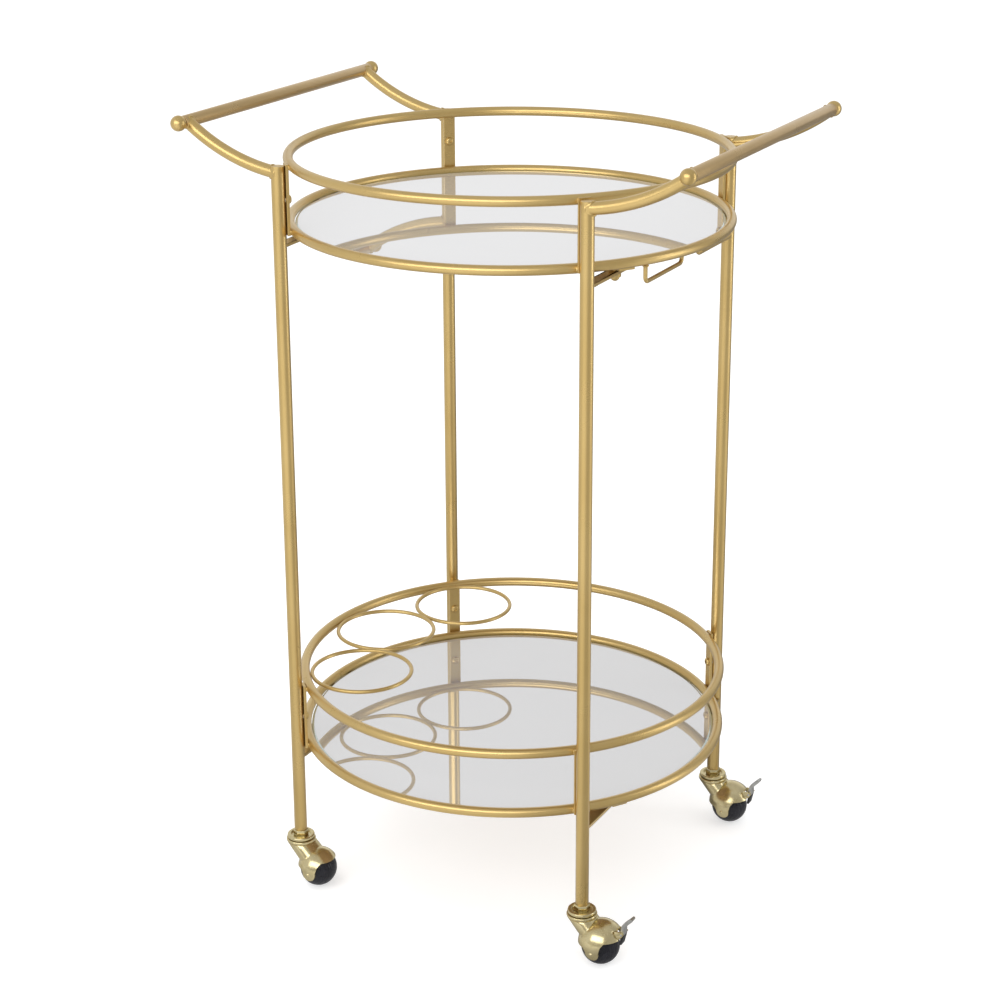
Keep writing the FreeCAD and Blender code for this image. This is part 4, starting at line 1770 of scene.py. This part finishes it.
@dataclass
class Studio:
    """Camera, floor, room and soft lights.

    Attributes:
        eye: Where the camera stands.
        turn: The camera's Euler angles in degrees.
        lens: Focal length in millimetres.
        sensor: Width of the camera's sensor in millimetres.
        shift: Small lens shift that frames the whole cart.
        floor_r: Radius of the floor.
        floor_glow: The floor's own light as the eye sees it.
        pool_base: The floor's least light as polished parts see it.
        pools: Pools of light and shade on the floor.
        back_wall: Where polished parts see a bright wall.
        left_wall: Where they see a softer one.
        lights: The soft lights.
        aim: Point that the lights face.
    """

    eye: Triple = (0.989, -1.868, 1.170)
    turn: Triple = (71.67, 0.24, 28.12)
    lens: float = 81.6
    sensor: float = 36.0
    shift: tuple[float, float] = (0.0, -0.08)
    floor_r: float = 40.0
    floor_glow: float = 0.55
    pool_base: float = 0.33
    pools: tuple[Pool, ...] = (Pool((0.03, -1.0), 42.0, 0.52), Pool((0.929, 0.371), 26.0, 0.40),
                               Pool((-0.94, -0.34), 70.0, 0.26), Pool((0.26, 0.966), 38.0, -0.26))
    back_wall: Bearing = Bearing((-0.47, 0.88), 62.0)
    left_wall: Bearing = Bearing((-0.97, -0.2), 75.0)
    lights: tuple[Softbox, ...] = (Softbox("softbox_front", (0.05, -2.50, 1.75), 3.4, 1.45, 38.0),
                                   Softbox("softbox_side", (2.15, 0.85, 0.95), 0.5, 1.9, 7.0),
                                   Softbox("softbox_overhead", (-0.5, -0.6, 3.0), 2.2, 2.2, 30.0, False))
    aim: Triple = (0.0, 0.0, 0.45)

    def build(self) -> None:
        """Set up the whole studio."""
        self.camera()
        self.floor()
        self.room()
        for light in self.lights:
            self.softbox(light)
        bpy.context.scene.view_settings.view_transform = "Standard"

    def camera(self) -> None:
        """Place the camera."""
        data = bpy.data.cameras.new("studio_camera")
        data.lens = self.lens
        data.sensor_width = self.sensor
        data.shift_x, data.shift_y = self.shift
        camera = bpy.data.objects.new("studio_camera", data)
        camera.location = self.eye
        camera.rotation_euler = [math.radians(angle) for angle in self.turn]
        bpy.context.scene.collection.objects.link(camera)
        bpy.context.scene.camera = camera

    @staticmethod
    def facing(sheet: NodeSheet, vector: NodeSocket, part: Bearing) -> NodeSocket:
        """Soft mask of the directions in one part of the compass.

        Args:
            sheet: Sheet to lay the nodes in.
            vector: Direction or place seen from the cart.
            part: The part of the compass.

        Returns:
            The mask's socket, 1 at the part's middle.
        """
        flat = sheet.node("VectorMath", operation="MULTIPLY")
        flat.inputs[1].default_value = (1.0, 1.0, 0.0)
        sheet.link(vector, flat.inputs[0])
        unit = sheet.node("VectorMath", operation="NORMALIZE")
        sheet.link(flat.outputs["Vector"], unit.inputs[0])
        along = sheet.node("VectorMath", operation="DOT_PRODUCT")
        along.inputs[1].default_value = Vector((*part.toward, 0.0)).normalized()
        sheet.link(unit.outputs["Vector"], along.inputs[0])
        mask = sheet.node("MapRange", interpolation_type="SMOOTHSTEP")
        sheet.link(along.outputs["Value"], mask.inputs["Value"])
        mask.inputs["From Min"].default_value = math.cos(math.radians(part.reach))
        return mask.outputs["Result"]

    def floor(self) -> None:
        """Lay a wide pale floor. It glows a little, and polished parts see soft pools of light on it."""
        shape = bmesh.new()
        bmesh.ops.create_circle(shape, segments=96, radius=self.floor_r, cap_ends=True)
        mesh = bpy.data.meshes.new("studio_floor")
        shape.to_mesh(mesh)
        shape.free()
        material = bpy.data.materials.new("pale_floor")
        material.use_nodes = True
        shader = material.node_tree.nodes["Principled BSDF"]
        sheet = NodeSheet(material.node_tree)
        place = sheet.node("TexCoord").outputs["Object"]
        mottle = sheet.noise(place, 3.0, 2.0)
        tone = sheet.blend(mottle, (0.60, 0.60, 0.60, 1.0), (0.63, 0.63, 0.63, 1.0))
        reflected = sheet.node("LightPath").outputs["Is Glossy Ray"]
        sheet.link(sheet.blend(reflected, tone, (0.16, 0.16, 0.16, 1.0)), shader.inputs["Base Color"])
        pools = self.pool_base
        for pool in self.pools:
            lit = sheet.scaled(self.facing(sheet, place, pool), pool.gain)
            pools = sheet.maths("ADD", lit, pools)
        apart = sheet.node("VectorMath", operation="LENGTH")
        sheet.link(place, apart.inputs[0])
        pools = sheet.maths("MULTIPLY", pools, sheet.spread(apart.outputs["Value"], 0.35, 1.35, 0.70, 1.04))
        glow = sheet.node("Mix")
        sheet.link(reflected, glow.inputs[0])
        glow.inputs[2].default_value = self.floor_glow
        sheet.link(pools, glow.inputs[3])
        sheet.link(glow.outputs[0], shader.inputs["Emission Strength"])
        shader.inputs["Emission Color"].default_value = (1.0, 1.0, 1.0, 1.0)
        shader.inputs["Roughness"].default_value = 0.9
        mesh.materials.append(material)
        floor = bpy.data.objects.new("studio_floor", mesh)
        bpy.context.scene.collection.objects.link(floor)

    def room(self) -> None:
        """Light the room: white to the eye, and for polished parts a dim ceiling and a bright back wall."""
        world = bpy.data.worlds.new("studio_room")
        world.use_nodes = True
        bpy.context.scene.world = world
        sheet = NodeSheet(world.node_tree)
        background = world.node_tree.nodes["Background"]
        direction = sheet.node("TexCoord").outputs["Generated"]
        split = sheet.node("SeparateXYZ")
        sheet.link(direction, split.inputs[0])
        height = split.outputs["Z"]
        wall = sheet.maths("MULTIPLY", self.facing(sheet, direction, self.back_wall),
                           sheet.spread(height, 0.72, 0.55))
        left = self.facing(sheet, direction, self.left_wall)
        side_light = sheet.scaled(left, 0.28, 0.48)
        overhead = sheet.spread(height, 0.62, 0.92)
        lower = sheet.blend(overhead, side_light, (0.62, 0.62, 0.62, 1.0))
        wall_light = sheet.spread(height, 0.15, 0.60, 0.92, 0.79)
        seen = sheet.blend(wall, lower, wall_light)
        reflected = sheet.node("LightPath").outputs["Is Glossy Ray"]
        sheet.link(sheet.blend(reflected, (0.92, 0.92, 0.92, 1.0), seen), background.inputs["Color"])
        background.inputs["Strength"].default_value = 1.0

    def softbox(self, light: Softbox) -> None:
        """Stand one soft light.

        Args:
            light: What to stand and where.
        """
        data = bpy.data.lights.new(light.name, "AREA")
        data.shape = "RECTANGLE"
        data.size = light.width
        data.size_y = light.height
        data.energy = light.power
        lamp = bpy.data.objects.new(light.name, data)
        lamp.location = light.place
        toward = Vector(self.aim) - Vector(light.place)
        lamp.rotation_euler = toward.to_track_quat("-Z", "Y").to_euler()
        lamp.visible_camera = False
        lamp.visible_glossy = light.mirrored
        bpy.context.scene.collection.objects.link(lamp)


def main() -> None:
    """Build the cart's looks in order and the studio round it."""
    logging.basicConfig(level=logging.INFO, format="%(name)s %(message)s")
    Studio().build()
    finishes = Finishes()
    SideFrames(finishes).build()
    for tray in Tray:
        TrayTier(tray, finishes).build()
    BottleRack(finishes).build()
    GlassRails(finishes).build()
    Fixings(finishes).build()
    CasterSeats(finishes).build()
    for corner in Corner:
        Caster(corner, finishes).build()


if __name__ == "__main__":
    main()
